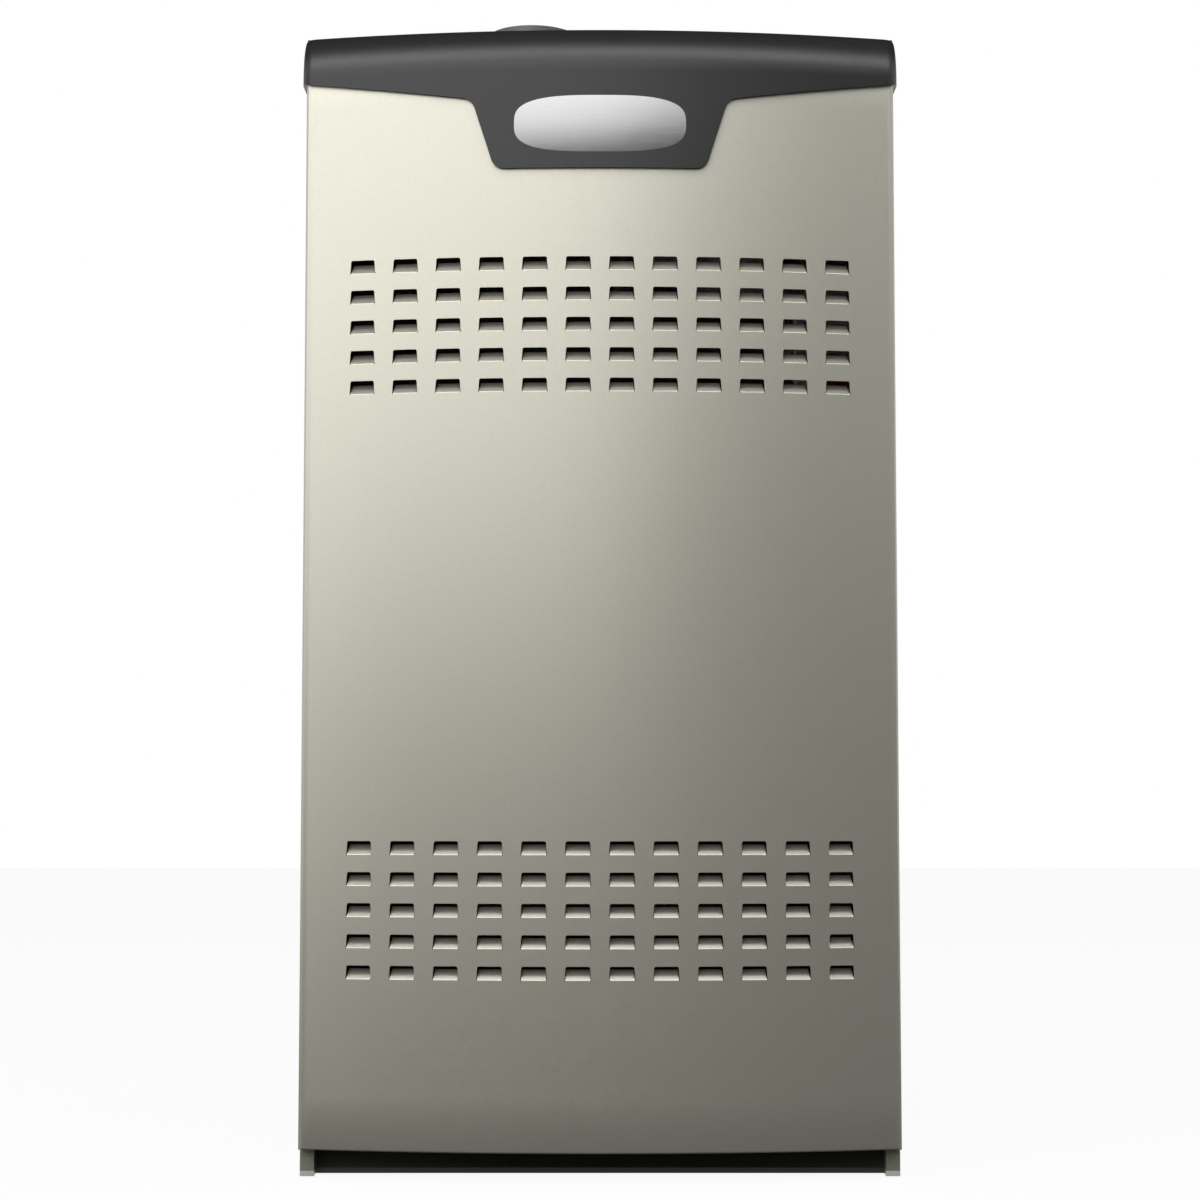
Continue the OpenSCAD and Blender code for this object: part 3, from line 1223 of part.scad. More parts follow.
module blower_wheel() color("#aeb2b4") to_right(0, blower_y, blower_z) difference() {
    half = wheel_w / 2;
    union() {
        for (z = [-half, half - 3]) translate([0, 0, z]) pipe(wheel_r, wheel_r - blade_d, 3, arc_fn);
        translate([0, 0, -1]) cylinder(r = wheel_r - 2, h = 2, $fn = arc_fn);
        translate([0, 0, -14]) cylinder(r = 16, h = 28, $fn = round_fn);
        for (i = [0 : wheel_blades - 1]) translate([0, 0, -half + 1]) linear_extrude(wheel_w - 2)
            polygon(blade(360 * i / wheel_blades));
    }
    translate([0, 0, -20]) cylinder(r = shaft_r + running_gap, h = 40, $fn = round_fn);
}

motor_x0 = -scroll_w / 2 - 34;
motor_x1 = motor_x0 + motor_l;

module blower_shaft() color("#d0d2d4")
    to_right(motor_x1 - 60, blower_y, blower_z) cylinder(r = shaft_r, h = 60 + 20 - motor_x1, $fn = round_fn);

module blower_motor() color("#3b3d40") to_right(motor_x0, blower_y, blower_z) difference() {
    rotate_extrude($fn = arc_fn) polygon(rounded([[0, 0], [motor_r * 0.8, 0], [motor_r, 12], [motor_r, motor_l - 12],
        [motor_r * 0.8, motor_l], [0, motor_l]], [0, 8, 6, 6, 8, 0], 4));
    translate([0, 0, motor_l - 66]) cylinder(r = shaft_r + running_gap, h = 70, $fn = round_fn);
    // Cooling slots in both ends
    for (a = [0 : 45 : 315], z = [-over, motor_l - 5]) rotate([0, 0, a + 22.5])
        translate([motor_r * 0.42, -3, z]) cube([motor_r * 0.28, 6, 5 + over]);
}

module motor_mount() color("#9fa3a5") to_right(-scroll_w / 2, blower_y, blower_z) {
    foot_r = inlet_r + 8;
    translate([0, 0, -26]) pipe(motor_r + 2.1, motor_r + 0.1, 14, arc_fn);
    for (a = [60, 180, 300]) rotate([0, 0, a]) {
        block([motor_r + 1, -9, -20], [foot_r + 2, 9, -18]);
        block([foot_r, -9, -20], [foot_r + 2, 9, 0]);
        block([foot_r, -9, -1.5], [foot_r + 14, 9, 0]);
        translate([foot_r + 8, 0, -5]) cylinder(r = 4, h = 4, $fn = 6);
    }
}

door_glass = [-60, deck_low - 62];

module blower_door() color("#b9bbb9") {
    w = half_w - post_w - 0.6;
    y1 = y_rail - 0.2;
    z0 = toe_h - 20;
    z1 = deck_top - 3;
    difference() {
        block([-w, y1 - 9, z0], [w, y1, z1]);
        block([-w + sheet, y1 - 9 - over, z0 + sheet], [w - sheet, y1 - sheet, z1 - sheet]);
        to_front(door_glass[0], y_rail, door_glass[1]) cylinder(r = 9, h = 4);
        for (x = door_screws) to_front(x, y_rail, door_screw_z) cylinder(r = 2.5, h = 4);
        for (x = door_screws) block([x - 10, y1 - 9 - over, door_screw_z], [x + 10, y1 - sheet, z1 + over]);
    }
}

module sight_glasses() color("#cfe0e6") {
    to_front(sight_x, y_cover + 2, sight_z) cylinder(r = 12, h = 2);
    to_front(door_glass[0], y_rail + 1.8, door_glass[1]) cylinder(r = 12, h = 2);
}

box_x0c = 71.5 - in_x;
board_x0 = box_x0c + 12;
board_z0 = box_bottom + 12;
board_y = y_box - 12;

module control_box() color("#b9bbb9") {
    x1 = board_x0 + board_l + 12;
    block([box_x0c, y_box - sheet, box_bottom], [x1, y_box, deck_low]);
    block([box_x0c, y_box - 40, box_bottom], [x1, y_box, box_bottom + sheet]);
    block([box_x0c, y_box - 40, deck_low - sheet], [x1, y_box, deck_low]);
    for (x = [box_x0c, x1 - sheet]) block([x, y_box - 40, box_bottom], [x + sheet, y_box, deck_low]);
    for (x = [board_x0 + 6, board_x0 + board_l - 6], z = [board_z0 + 6, board_z0 + board_h - 6])
        to_front(x, y_box - sheet + 0.5, z) cylinder(r = 3, h = y_box - sheet + 0.5 - board_y);
}

module control_board() color("#2f6b45") {
    y0 = board_y - 1.6;
    block([board_x0, y0, board_z0], [board_x0 + board_l, board_y, board_z0 + board_h]);
    for (x = [18 : 24 : 90]) block([board_x0 + x, y0 - 15, board_z0 + 14], [board_x0 + x + 18, y0, board_z0 + 30]);
    for (x = [20, 60, 100]) block([board_x0 + x, y0 - 9, board_z0 + board_h - 18], [board_x0 + x + 30, y0, board_z0 + board_h - 8]);
    block([board_x0 + 112, y0 - 8, board_z0 + 12], [board_x0 + board_l - 12, y0, board_z0 + 22]);
    block([board_x0 + 70, y0 - 3, board_z0 + 52], [board_x0 + 92, y0, board_z0 + 74]);
    for (x = [24, 42, 130, 146]) to_front(board_x0 + x, y0, board_z0 + 60) cylinder(r = 6, h = 13);
    to_front(door_glass[0], y0, door_glass[1]) cylinder(r = 2.5, h = 5);
}

module transformer() color("#6b6258") {
    x0 = board_x0 + board_l + 30;
    y0 = y_rail + 14;
    z1 = deck_low;
    block([x0 - 10, y0 + 8, z1 - 2], [x0 + 66, y0 + 38, z1]);
    block([x0, y0 + 8, z1 - 50], [x0 + 56, y0 + 36, z1]);
    block([x0 + 12, y0, z1 - 42], [x0 + 44, y0 + 44, z1 - 8]);
}

module junction_box() color("#a9acac") difference() {
    x0 = -in_x;
    y0 = knockout[0] - 26;
    union() {
        block([x0, y0, deck_top], [x0 + 58, y0 + 52, deck_top + 68]);
        block([x0, y0 - 1.2, deck_top], [x0 + 60, y0, deck_top + 69]);
        for (z = [10, 58]) to_front(x0 + 54, y0 - 1.2, deck_top + z) cylinder(r = 3.5, h = 2, $fn = 6);
    }
    block([x0 + 1.2, y0, deck_top + 1.2], [x0 + 56.8, y0 + 50.8, deck_top + 66.8]);
    to_right(x0 - over, knockout[0], knockout[1]) cylinder(r = knockout_r, h = 4, $fn = round_fn);
}

switch_y = y_rail + 4;
plunger_z = deck_top + 13;

module door_switch() color("#2b2c2e") difference() {
    block([switch_x - 12, switch_y, deck_top], [switch_x + 12, switch_y + 34, deck_top + 24]);
    to_front(switch_x, switch_y + 28, plunger_z) cylinder(r = plunger_r + running_gap, h = 40);
}

module switch_plunger() color("#d8d4c8")
    to_front(switch_x, switch_y + 22, plunger_z) cylinder(r = plunger_r, h = switch_y + 22 - y_panel - 0.3);

// Wiring bundles: from the control board up through the deck, and on to the valve, inducer and door switch
module wiring_harness() color("#6e2f2a") {
    plug_z = board_z0 + board_h - 13;
    plug_y = board_y - 10.6;
    runs = [
        // Trunk through the deck's grommet
        [[harness_x - 5, plug_y, plug_z], [harness_x - 5, plug_y - 8, plug_z], [harness_x - 3, harness_y + 4, plug_z + 14],
            [harness_x - 3, harness_y, deck_low], [harness_x - 3, harness_y, deck_top + 20],
            [harness_x + 20, harness_y + 30, deck_top + 40], [harness_x + 40, press_y - 34, coil_z - 40],
            [press_x - 12, press_y - 34, coil_z - 12], [press_x - 6, press_y - 29, coil_z]],
        // Branch to the inducer motor
        [[harness_x + 3, harness_y, deck_low - 12], [harness_x + 3, harness_y, deck_top + 14],
            [harness_x - 30, harness_y - 2, deck_top + 30], [ind_x + 30, ind_y_front - 40, deck_top + 40],
            [ind_x, ind_y_front - 26, ind_z - ind_motor_r - 14], [ind_x, ind_y_front - 26, ind_z - ind_motor_r - 0.5]],
        // Branch to the door switch
        [[harness_x, harness_y + 4, deck_low - 10], [harness_x, harness_y + 4, deck_top + 6],
            [harness_x + 14, harness_y + 16, deck_top + 8], [100, switch_y + 44, deck_top + 6],
            [switch_x - 14, switch_y + 44, deck_top + 8], [switch_x, switch_y + 42, deck_top + 12],
            [switch_x, switch_y + 34.5, deck_top + 12]]
    ];
    for (r = runs) swept(smooth(r), 1.8, 8);
}

// Each node drawn alone or all together
cabinet_wrapper();
base_pan();
toe_rail();
top_panel();
supply_flange();
blower_deck();
vestibule_panel();
cabinet_lining();
cabinet_screws();
hole_grommets();
front_panel();
panel_stiffeners();
panel_pad();
panel_gaskets();
catch_studs();
catch_sockets();
top_cap();
badge_plate();
heat_exchanger();
collector_box();
secondary_coil();
cold_end_header();
burner_box();
burner_cover();
burners();
gas_manifold();
gas_orifices();
gas_valve();
gas_valve_knob();
ignitor();
flame_sensor();
rollout_switches();
reset_button_left();
reset_button_right();
limit_switch();
inducer_gasket();
inducer_housing();
inducer_wheel();
inducer_shaft();
inducer_motor();
exhaust_pipe();
exhaust_coupling();
intake_coupling();
pressure_switch();
rubber_hoses();
condensate_trap();
blower_housing();
blower_wheel();
blower_shaft();
blower_motor();
motor_mount();
blower_door();
sight_glasses();
control_box();
control_board();
transformer();
junction_box();
door_switch();
switch_plunger();
wiring_harness();
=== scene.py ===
import math

import bmesh
import bpy
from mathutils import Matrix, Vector


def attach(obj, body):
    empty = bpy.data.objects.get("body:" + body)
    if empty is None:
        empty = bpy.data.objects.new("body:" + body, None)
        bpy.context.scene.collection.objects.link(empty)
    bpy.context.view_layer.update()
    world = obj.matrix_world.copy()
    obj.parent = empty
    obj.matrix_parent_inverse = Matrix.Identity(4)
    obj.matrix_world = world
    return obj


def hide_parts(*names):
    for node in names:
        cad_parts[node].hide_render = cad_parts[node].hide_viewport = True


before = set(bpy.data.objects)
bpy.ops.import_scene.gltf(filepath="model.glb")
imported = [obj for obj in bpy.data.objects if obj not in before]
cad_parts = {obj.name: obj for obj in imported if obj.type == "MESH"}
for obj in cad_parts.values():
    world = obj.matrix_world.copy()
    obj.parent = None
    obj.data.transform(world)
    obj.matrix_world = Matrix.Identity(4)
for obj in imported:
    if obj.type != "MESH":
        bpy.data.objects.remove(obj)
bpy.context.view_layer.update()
scene = bpy.context.scene

# ---------------------------------------------------------------- camera
# Fitted to the outlines of the panel, cap, louvres and posts in the photograph
camera_data = bpy.data.cameras.new("camera")
camera_data.lens = 80.35
camera_data.sensor_width = 36
camera = bpy.data.objects.new("camera", camera_data)
camera.location = (0, -2.3414, 0.2762)
camera.rotation_euler = (math.radians(94.32), 0, 0)
scene.collection.objects.link(camera)
scene.camera = camera

# ---------------------------------------------------------------- sizes, in metres
HALF_W = 0.2225                     # half the width of the casing and the panel
CAB_H = 0.838                       # height of the casing
Y_PANEL = -0.3327                   # back of the panel, where its lips lie
Y_EDGE = -0.3447                    # front of the panel at its upright edges
BOW = 0.0258                        # how far its middle stands in front of its edges
BOW_R = (HALF_W ** 2 + BOW ** 2) / (2 * BOW)
BOW_CY = Y_EDGE - BOW + BOW_R       # centre of the bow
SHEET = 0.001                       # thickness of the panel's sheet
DOOR_Z0, DOOR_Z1 = 0.0211, 0.826    # lower and upper edge of the panel
CAP_TOP = 0.863
CAP_X = 0.2255                      # half the width of the cap
CAP_R = BOW_R + 0.003               # radius of the cap's face, about the centre of the bow
Y_CAP_BACK = -0.3107

# Normals within 3 degrees of the form's own take the form's
NORMAL_LIMIT = math.cos(math.radians(3.0))
# The band that most values of a noise lie in
NOISE_BAND = (0.3, 0.7)


# ---------------------------------------------------------------- mesh helpers
def piece(name, verts, faces, body, material):
    """A smooth-shaded mesh object that rides on the body."""
    mesh = bpy.data.meshes.new(name)
    mesh.from_pydata(verts, [], faces)
    mesh.validate()
    obj = bpy.data.objects.new(name, mesh)
    scene.collection.objects.link(obj)
    mesh.materials.append(material)
    bm = bmesh.new()
    bm.from_mesh(mesh)
    bmesh.ops.remove_doubles(bm, verts=bm.verts, dist=1e-6)
    bmesh.ops.recalc_face_normals(bm, faces=bm.faces)
    bm.to_mesh(mesh)
    bm.free()
    for poly in mesh.polygons:
        poly.use_smooth = True
    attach(obj, body)
    return obj


def solidify(obj, thickness):
    mod = obj.modifiers.new("thickness", "SOLIDIFY")
    mod.thickness = thickness
    mod.offset = -1.0
    mod.use_even_offset = True


def bevel(obj, width, segments, angle):
    mod = obj.modifiers.new("edges", "BEVEL")
    mod.width = width
    mod.segments = segments
    mod.limit_method = "ANGLE"
    mod.angle_limit = math.radians(angle)
    mod.harden_normals = True


def settle(obj, outward):
    """Applies the modifiers, then gives the large curved faces the exact normals of their form."""
    bpy.context.view_layer.update()
    graph = bpy.context.evaluated_depsgraph_get()
    mesh = bpy.data.meshes.new_from_object(obj.evaluated_get(graph),
                                           preserve_all_data_layers=True, depsgraph=graph)
    obj.modifiers.clear()
    obj.data = mesh
    normals = [corner.vector.copy() for corner in mesh.corner_normals]
    for i, loop in enumerate(mesh.loops):
        exact = outward(mesh.vertices[loop.vertex_index].co).normalized()
        along = exact.dot(normals[i])
        if abs(along) > NORMAL_LIMIT:
            normals[i] = exact if along > 0 else -exact
    mesh.normals_split_custom_set(normals)


def round_corners(points, radii, steps):
    """Rounds the corners of a 2-D outline; radii[i] belongs to points[i]."""
    out = []
    count = len(points)
    for i in range(count):
        p0, p1, p2 = (Vector(points[(i + k) % count]) for k in (-1, 0, 1))
        if radii[i] <= 0:
            out.append(tuple(p1))
            continue
        a, b = (p0 - p1).normalized(), (p2 - p1).normalized()
        half = math.acos(max(-1, min(1, a.dot(b)))) / 2
        radius = radii[i]
        centre = p1 + (a + b).normalized() * radius / math.sin(half)
        start = p1 + a * radius / math.tan(half) - centre
        end = p1 + b * radius / math.tan(half) - centre
        a0 = math.atan2(start.y, start.x)
        sweep = (math.atan2(end.y, end.x) - a0 + 3 * math.pi) % (2 * math.pi) - math.pi
        for k in range(steps + 1):
            angle = a0 + sweep * k / steps
            out.append((centre.x + radius * math.cos(angle), centre.y + radius * math.sin(angle)))
    return out


# ---------------------------------------------------------------- materials
class Nodes:
    """Shorthand for building one node material."""
    SOCKETS = {"metal": "Metallic", "rough": "Roughness", "coat": "Coat Weight",
               "coat_rough": "Coat Roughness", "colour": "Base Color", "ior": "IOR",
               "specular": "Specular IOR Level", "transmission": "Transmission Weight"}

    def __init__(self, name):
        self.material = bpy.data.materials.new(name)
        self.material.use_nodes = True
        self.tree = self.material.node_tree
        self.tree.nodes.clear()
        self.shader = self.add("ShaderNodeBsdfPrincipled")
        out = self.add("ShaderNodeOutputMaterial")
        self.link(self.shader.outputs[0], out.inputs["Surface"])
        self.place = self.add("ShaderNodeTexCoord").outputs["Object"]

    def add(self, kind, **values):
        node = self.tree.nodes.new(kind)
        for key, value in values.items():
            setattr(node, key, value)
        return node

    def link(self, a, b):
        self.tree.links.new(a, b)

    def stretched(self, scale):
        node = self.add("ShaderNodeMapping")
        node.inputs["Scale"].default_value = scale
        self.link(self.place, node.inputs["Vector"])
        return node.outputs[0]

    def noise(self, scale, detail=3.0, rough=0.55, stretch=(1, 1, 1)):
        node = self.add("ShaderNodeTexNoise")
        node.inputs["Scale"].default_value = scale
        node.inputs["Detail"].default_value = detail
        node.inputs["Roughness"].default_value = rough
        self.link(self.stretched(stretch), node.inputs["Vector"])
        return node.outputs["Fac"]

    def cells(self, scale, output="Color"):
        node = self.add("ShaderNodeTexVoronoi", feature="F1")
        node.inputs["Scale"].default_value = scale
        self.link(self.place, node.inputs["Vector"])
        return node.outputs[output]

    def grey(self, colour):
        node = self.add("ShaderNodeRGBToBW")
        self.link(colour, node.inputs[0])
        return node.outputs[0]

    def remap(self, value, low, high, from_low=0.0, from_high=1.0):
        node = self.add("ShaderNodeMapRange")
        node.inputs["From Min"].default_value = from_low
        node.inputs["From Max"].default_value = from_high
        node.inputs["To Min"].default_value = low
        node.inputs["To Max"].default_value = high
        self.link(value, node.inputs["Value"])
        return node.outputs[0]

    def ramp(self, value, stops):
        node = self.add("ShaderNodeValToRGB")
        elements = node.color_ramp.elements
        while len(elements) < len(stops):
            elements.new(0.5)
        for element, (at, colour) in zip(elements, stops):
            element.position = at
            element.color = (*colour, 1)
        self.link(value, node.inputs[0])
        return node.outputs[0]

    def mix(self, factor, a, b):
        node = self.add("ShaderNodeMix", data_type="RGBA", blend_type="MIX")
        # Sockets 0, 6 and 7 are the factor and the two colours
        for socket, value in ((node.inputs[0], factor), (node.inputs[6], a), (node.inputs[7], b)):
            if isinstance(value, tuple):
                socket.default_value = (*value, 1)
            elif isinstance(value, float):
                socket.default_value = value
            else:
                self.link(value, socket)
        return node.outputs[2]

    def bump(self, layers):
        """layers: (height, strength, distance), laid over each other."""
        normal = None
        for height, strength, distance in layers:
            node = self.add("ShaderNodeBump")
            node.inputs["Strength"].default_value = strength
            node.inputs["Distance"].default_value = distance
            self.link(height, node.inputs["Height"])
            if normal is not None:
                self.link(normal, node.inputs["Normal"])
            normal = node.outputs[0]
        self.link(normal, self.shader.inputs["Normal"])

    def set(self, **values):
        for key, value in values.items():
            socket = self.shader.inputs[self.SOCKETS[key]]
            if isinstance(value, tuple):
                socket.default_value = (*value, 1)
            elif isinstance(value, (int, float)):
                socket.default_value = value
            else:
                self.link(value, socket)


def srgb(r, g, b):
    """Display colour, 0 to 255, as linear light."""
    return tuple((c / 255) / 12.92 if c <= 10 else ((c / 255 + 0.055) / 1.055) ** 2.4
                 for c in (r, g, b))


def shade(colour, k):
    return tuple(min(1.0, c * k) for c in colour)


def metallic_paint(name, colour, metal, rough):
    n = Nodes(name)
    flakes = n.grey(n.cells(2600))
    cloud = n.noise(5.0, 2.0)
    base = n.ramp(flakes, [(0.15, shade(colour, 0.93)), (0.5, colour), (0.9, shade(colour, 1.06))])
    base = n.mix(n.remap(cloud, 0.0, 0.10), base, shade(colour, 0.9))
    n.set(colour=base, metal=metal, coat=0.12, coat_rough=0.28,
          rough=n.remap(n.noise(420, 3.0), rough - 0.03, rough + 0.04, *NOISE_BAND))
    n.bump([(n.noise(900, 2.0), 0.05, 0.0002), (n.noise(160, 2.0), 0.035, 0.0004)])
    return n.material


def plastic(name, colour, rough, grain=1800, depth=0.12, coat=0.0, specular=0.5):
    n = Nodes(name)
    base = n.ramp(n.noise(14.0, 3.0), [(0.3, shade(colour, 0.93)), (0.7, shade(colour, 1.06))])
    n.set(colour=base, coat=coat, specular=specular,
          rough=n.remap(n.noise(260, 4.0), rough - 0.04, rough + 0.05, *NOISE_BAND))
    n.bump([(n.cells(grain, "Distance"), depth, 0.0002), (n.noise(90, 2.0), 0.03, 0.0004)])
    return n.material


def galvanised(name, colour=(0.50, 0.52, 0.53), rough=0.38, spangle=95):
    n = Nodes(name)
    crystals = n.grey(n.cells(spangle))
    fine = n.noise(700, 3.0)
    base = n.ramp(crystals, [(0.1, shade(colour, 0.80)), (0.5, colour), (0.9, shade(colour, 1.18))])
    base = n.mix(n.remap(n.noise(9.0, 4.0), 0.0, 0.25, 0.35, 0.7), base, shade(colour, 0.82))
    n.set(colour=base, metal=0.85, rough=n.remap(crystals, rough - 0.08, rough + 0.10))
    n.bump([(crystals, 0.04, 0.0003), (fine, 0.05, 0.0002)])
    return n.material


def bare_metal(name, colour, rough, metal=1.0, stretch=(1, 1, 1), scale=500, stain=0.15):
    n = Nodes(name)
    streak = n.noise(scale, 4.0, 0.6, stretch)
    base = n.ramp(streak, [(0.3, shade(colour, 0.86)), (0.7, shade(colour, 1.1))])
    base = n.mix(n.remap(n.noise(18.0, 4.0), 0.0, stain, 0.4, 0.7), base, shade(colour, 0.6))
    n.set(colour=base, metal=metal, rough=n.remap(streak, rough - 0.06, rough + 0.08, *NOISE_BAND))
    n.bump([(streak, 0.06, 0.0003)])
    return n.material


def cast_metal(name, colour, rough, metal=0.8):
    n = Nodes(name)
    grains = n.cells(650, "Distance")
    base = n.ramp(n.noise(30.0, 5.0), [(0.3, shade(colour, 0.85)), (0.7, shade(colour, 1.1))])
    n.set(colour=base, metal=metal,
          rough=n.remap(n.noise(120, 4.0), rough - 0.08, rough + 0.08, *NOISE_BAND))
    n.bump([(grains, 0.22, 0.0004), (n.noise(60, 3.0), 0.06, 0.0008)])
    return n.material


def rubber(name):
    n = Nodes(name)
    colour, rough = (0.018, 0.018, 0.019), 0.7
    base = n.ramp(n.noise(25.0, 4.0), [(0.3, colour), (0.75, shade(colour, 1.9))])
    n.set(colour=base, rough=n.remap(n.noise(200, 3.0), rough - 0.08, rough + 0.08, *NOISE_BAND))
    n.bump([(n.noise(1500, 2.0), 0.12, 0.0002)])
    return n.material


def foil(name):
    n = Nodes(name)
    creases = n.noise(26.0, 5.0, 0.62)
    base = n.ramp(creases, [(0.3, (0.50, 0.51, 0.53)), (0.7, (0.72, 0.73, 0.75))])
    n.set(colour=base, metal=0.9, rough=n.remap(n.noise(70.0, 4.0), 0.22, 0.42, *NOISE_BAND))
    n.bump([(creases, 0.5, 0.003), (n.noise(180, 3.0), 0.25, 0.0008)])
    return n.material


def glass(name):
    n = Nodes(name)
    base = n.ramp(n.noise(40.0, 3.0), [(0.3, (0.80, 0.90, 0.90)), (0.7, (0.90, 0.97, 0.96))])
    n.set(colour=base, rough=n.remap(n.noise(300, 2.0), 0.03, 0.08, *NOISE_BAND),
          transmission=0.85, ior=1.5)
    n.bump([(n.noise(60, 2.0), 0.05, 0.0005)])
    return n.material


def ceramic(name, colour):
    n = Nodes(name)
    base = n.ramp(n.noise(60.0, 5.0), [(0.3, shade(colour, 0.88)), (0.7, colour)])
    n.set(colour=base, rough=n.remap(n.noise(220, 3.0), 0.45, 0.62, *NOISE_BAND))
    n.bump([(n.noise(900, 3.0), 0.12, 0.0002)])
    return n.material


def brushed(name, colour, rough):
    n = Nodes(name)
    streak = n.noise(300, 5.0, 0.6, (0.12, 1, 6))
    base = n.ramp(streak, [(0.25, shade(colour, 0.90)), (0.75, shade(colour, 1.05))])
    n.set(colour=base, metal=1.0, coat=0.3, coat_rough=0.12,
          rough=n.remap(streak, rough - 0.05, rough + 0.08, *NOISE_BAND))
    n.bump([(streak, 0.06, 0.0001)])
    return n.material


def circuit(name):
    n = Nodes(name)
    brick = n.add("ShaderNodeTexBrick")
    brick.inputs["Scale"].default_value = 160
    brick.inputs["Mortar Size"].default_value = 0.03
    brick.inputs["Color1"].default_value = (0.020, 0.135, 0.060, 1)
    brick.inputs["Color2"].default_value = (0.026, 0.165, 0.075, 1)
    brick.inputs["Mortar"].default_value = (0.10, 0.26, 0.13, 1)
    swap = n.add("ShaderNodeMapping")
    swap.inputs["Rotation"].default_value = (math.radians(90), 0, 0)
    n.link(n.place, swap.inputs["Vector"])
    n.link(swap.outputs[0], brick.inputs["Vector"])
    base = n.mix(n.remap(n.noise(60, 3.0), 0.0, 0.35), brick.outputs["Color"], (0.02, 0.10, 0.05))
    n.set(colour=base, rough=n.remap(n.noise(300, 3.0), 0.28, 0.42, *NOISE_BAND),
          coat=0.25, coat_rough=0.2)
    n.bump([(brick.outputs["Fac"], 0.08, 0.0002)])
    return n.material


def laminated(name):
    n = Nodes(name)
    wave = n.add("ShaderNodeTexWave", wave_type="BANDS", bands_direction="Y")
    wave.inputs["Scale"].default_value = 260
    wave.inputs["Distortion"].default_value = 0.4
    n.link(n.place, wave.inputs["Vector"])
    base = n.ramp(wave.outputs["Fac"], [(0.2, (0.05, 0.040, 0.032)), (0.8, (0.16, 0.13, 0.10))])
    n.set(colour=base, metal=0.4, rough=n.remap(n.noise(150, 3.0), 0.40, 0.55, *NOISE_BAND),
          coat=0.3, coat_rough=0.3)
    n.bump([(wave.outputs["Fac"], 0.2, 0.0003)])
    return n.material


paint = metallic_paint("satin_metallic_paint", srgb(188, 186, 173), 0.6, 0.36)
toe_paint = plastic("toe_paint", srgb(58, 56, 48), 0.6, 2400, 0.05)
# Dark paint on the burner cover and blower door instead of their galvanised sheet: painted shade,
# so that the inside reads black through the louvre slots
painted_shade_inner = plastic("painted_shade_inner", srgb(34, 34, 33), 0.62, 2400, 0.05)
cap_plastic = plastic("charcoal_plastic", srgb(38, 38, 39), 0.32, 2600, 0.06, specular=0.36)
vent_plastic = plastic("vent_plastic", srgb(84, 85, 86), 0.42, 2200, 0.04)
black_plastic = plastic("black_plastic", srgb(36, 37, 39), 0.48)
white_plastic = plastic("white_plastic", srgb(214, 208, 194), 0.4)
red_plastic = plastic("red_plastic", srgb(168, 38, 28), 0.32, 2400, 0.04, coat=0.3)
zinc = galvanised("galvanised_sheet")
wheel_zinc = galvanised("galvanised_wheel", (0.44, 0.46, 0.47), 0.34, 160)
screw_zinc = bare_metal("zinc_plating", (0.60, 0.61, 0.62), 0.28, scale=900)
badge_metal = brushed("badge_metal", (0.33, 0.33, 0.335), 0.34)
exchanger = bare_metal("aluminised_steel", (0.42, 0.40, 0.365), 0.42, 0.85, scale=220, stain=0.4)
coil_metal = bare_metal("coil_metal", (0.62, 0.63, 0.65), 0.30, stretch=(1, 1, 0.2), scale=700)
burner_steel = bare_metal("burner_steel", (0.36, 0.37, 0.385), 0.36, scale=260, stain=0.5)
black_iron = cast_metal("black_iron", (0.045, 0.047, 0.05), 0.55, 0.5)
brass = bare_metal("brass", (0.70, 0.47, 0.17), 0.24, scale=800)
cast_aluminium = cast_metal("cast_aluminium", (0.40, 0.41, 0.42), 0.46)
white_ceramic = ceramic("white_ceramic", (0.80, 0.77, 0.70))
limit_body = ceramic("limit_body", (0.50, 0.38, 0.18))
wheel_plastic = plastic("wheel_plastic", srgb(44, 45, 48), 0.4)
shaft_steel = bare_metal("shaft_steel", (0.60, 0.61, 0.62), 0.18, stretch=(8, 8, 1), scale=300,
                         stain=0.05)
motor_paint = plastic("motor_paint", srgb(52, 54, 57), 0.38, 900, 0.05, coat=0.25)
black_rubber = rubber("black_rubber")
wire_rubber = plastic("wire_insulation", srgb(122, 44, 36), 0.42)
foil_lining = foil("foil_insulation")
clear_glass = glass("clear_glass")
circuit_board = circuit("circuit_board")
transformer_iron = laminated("transformer_laminations")

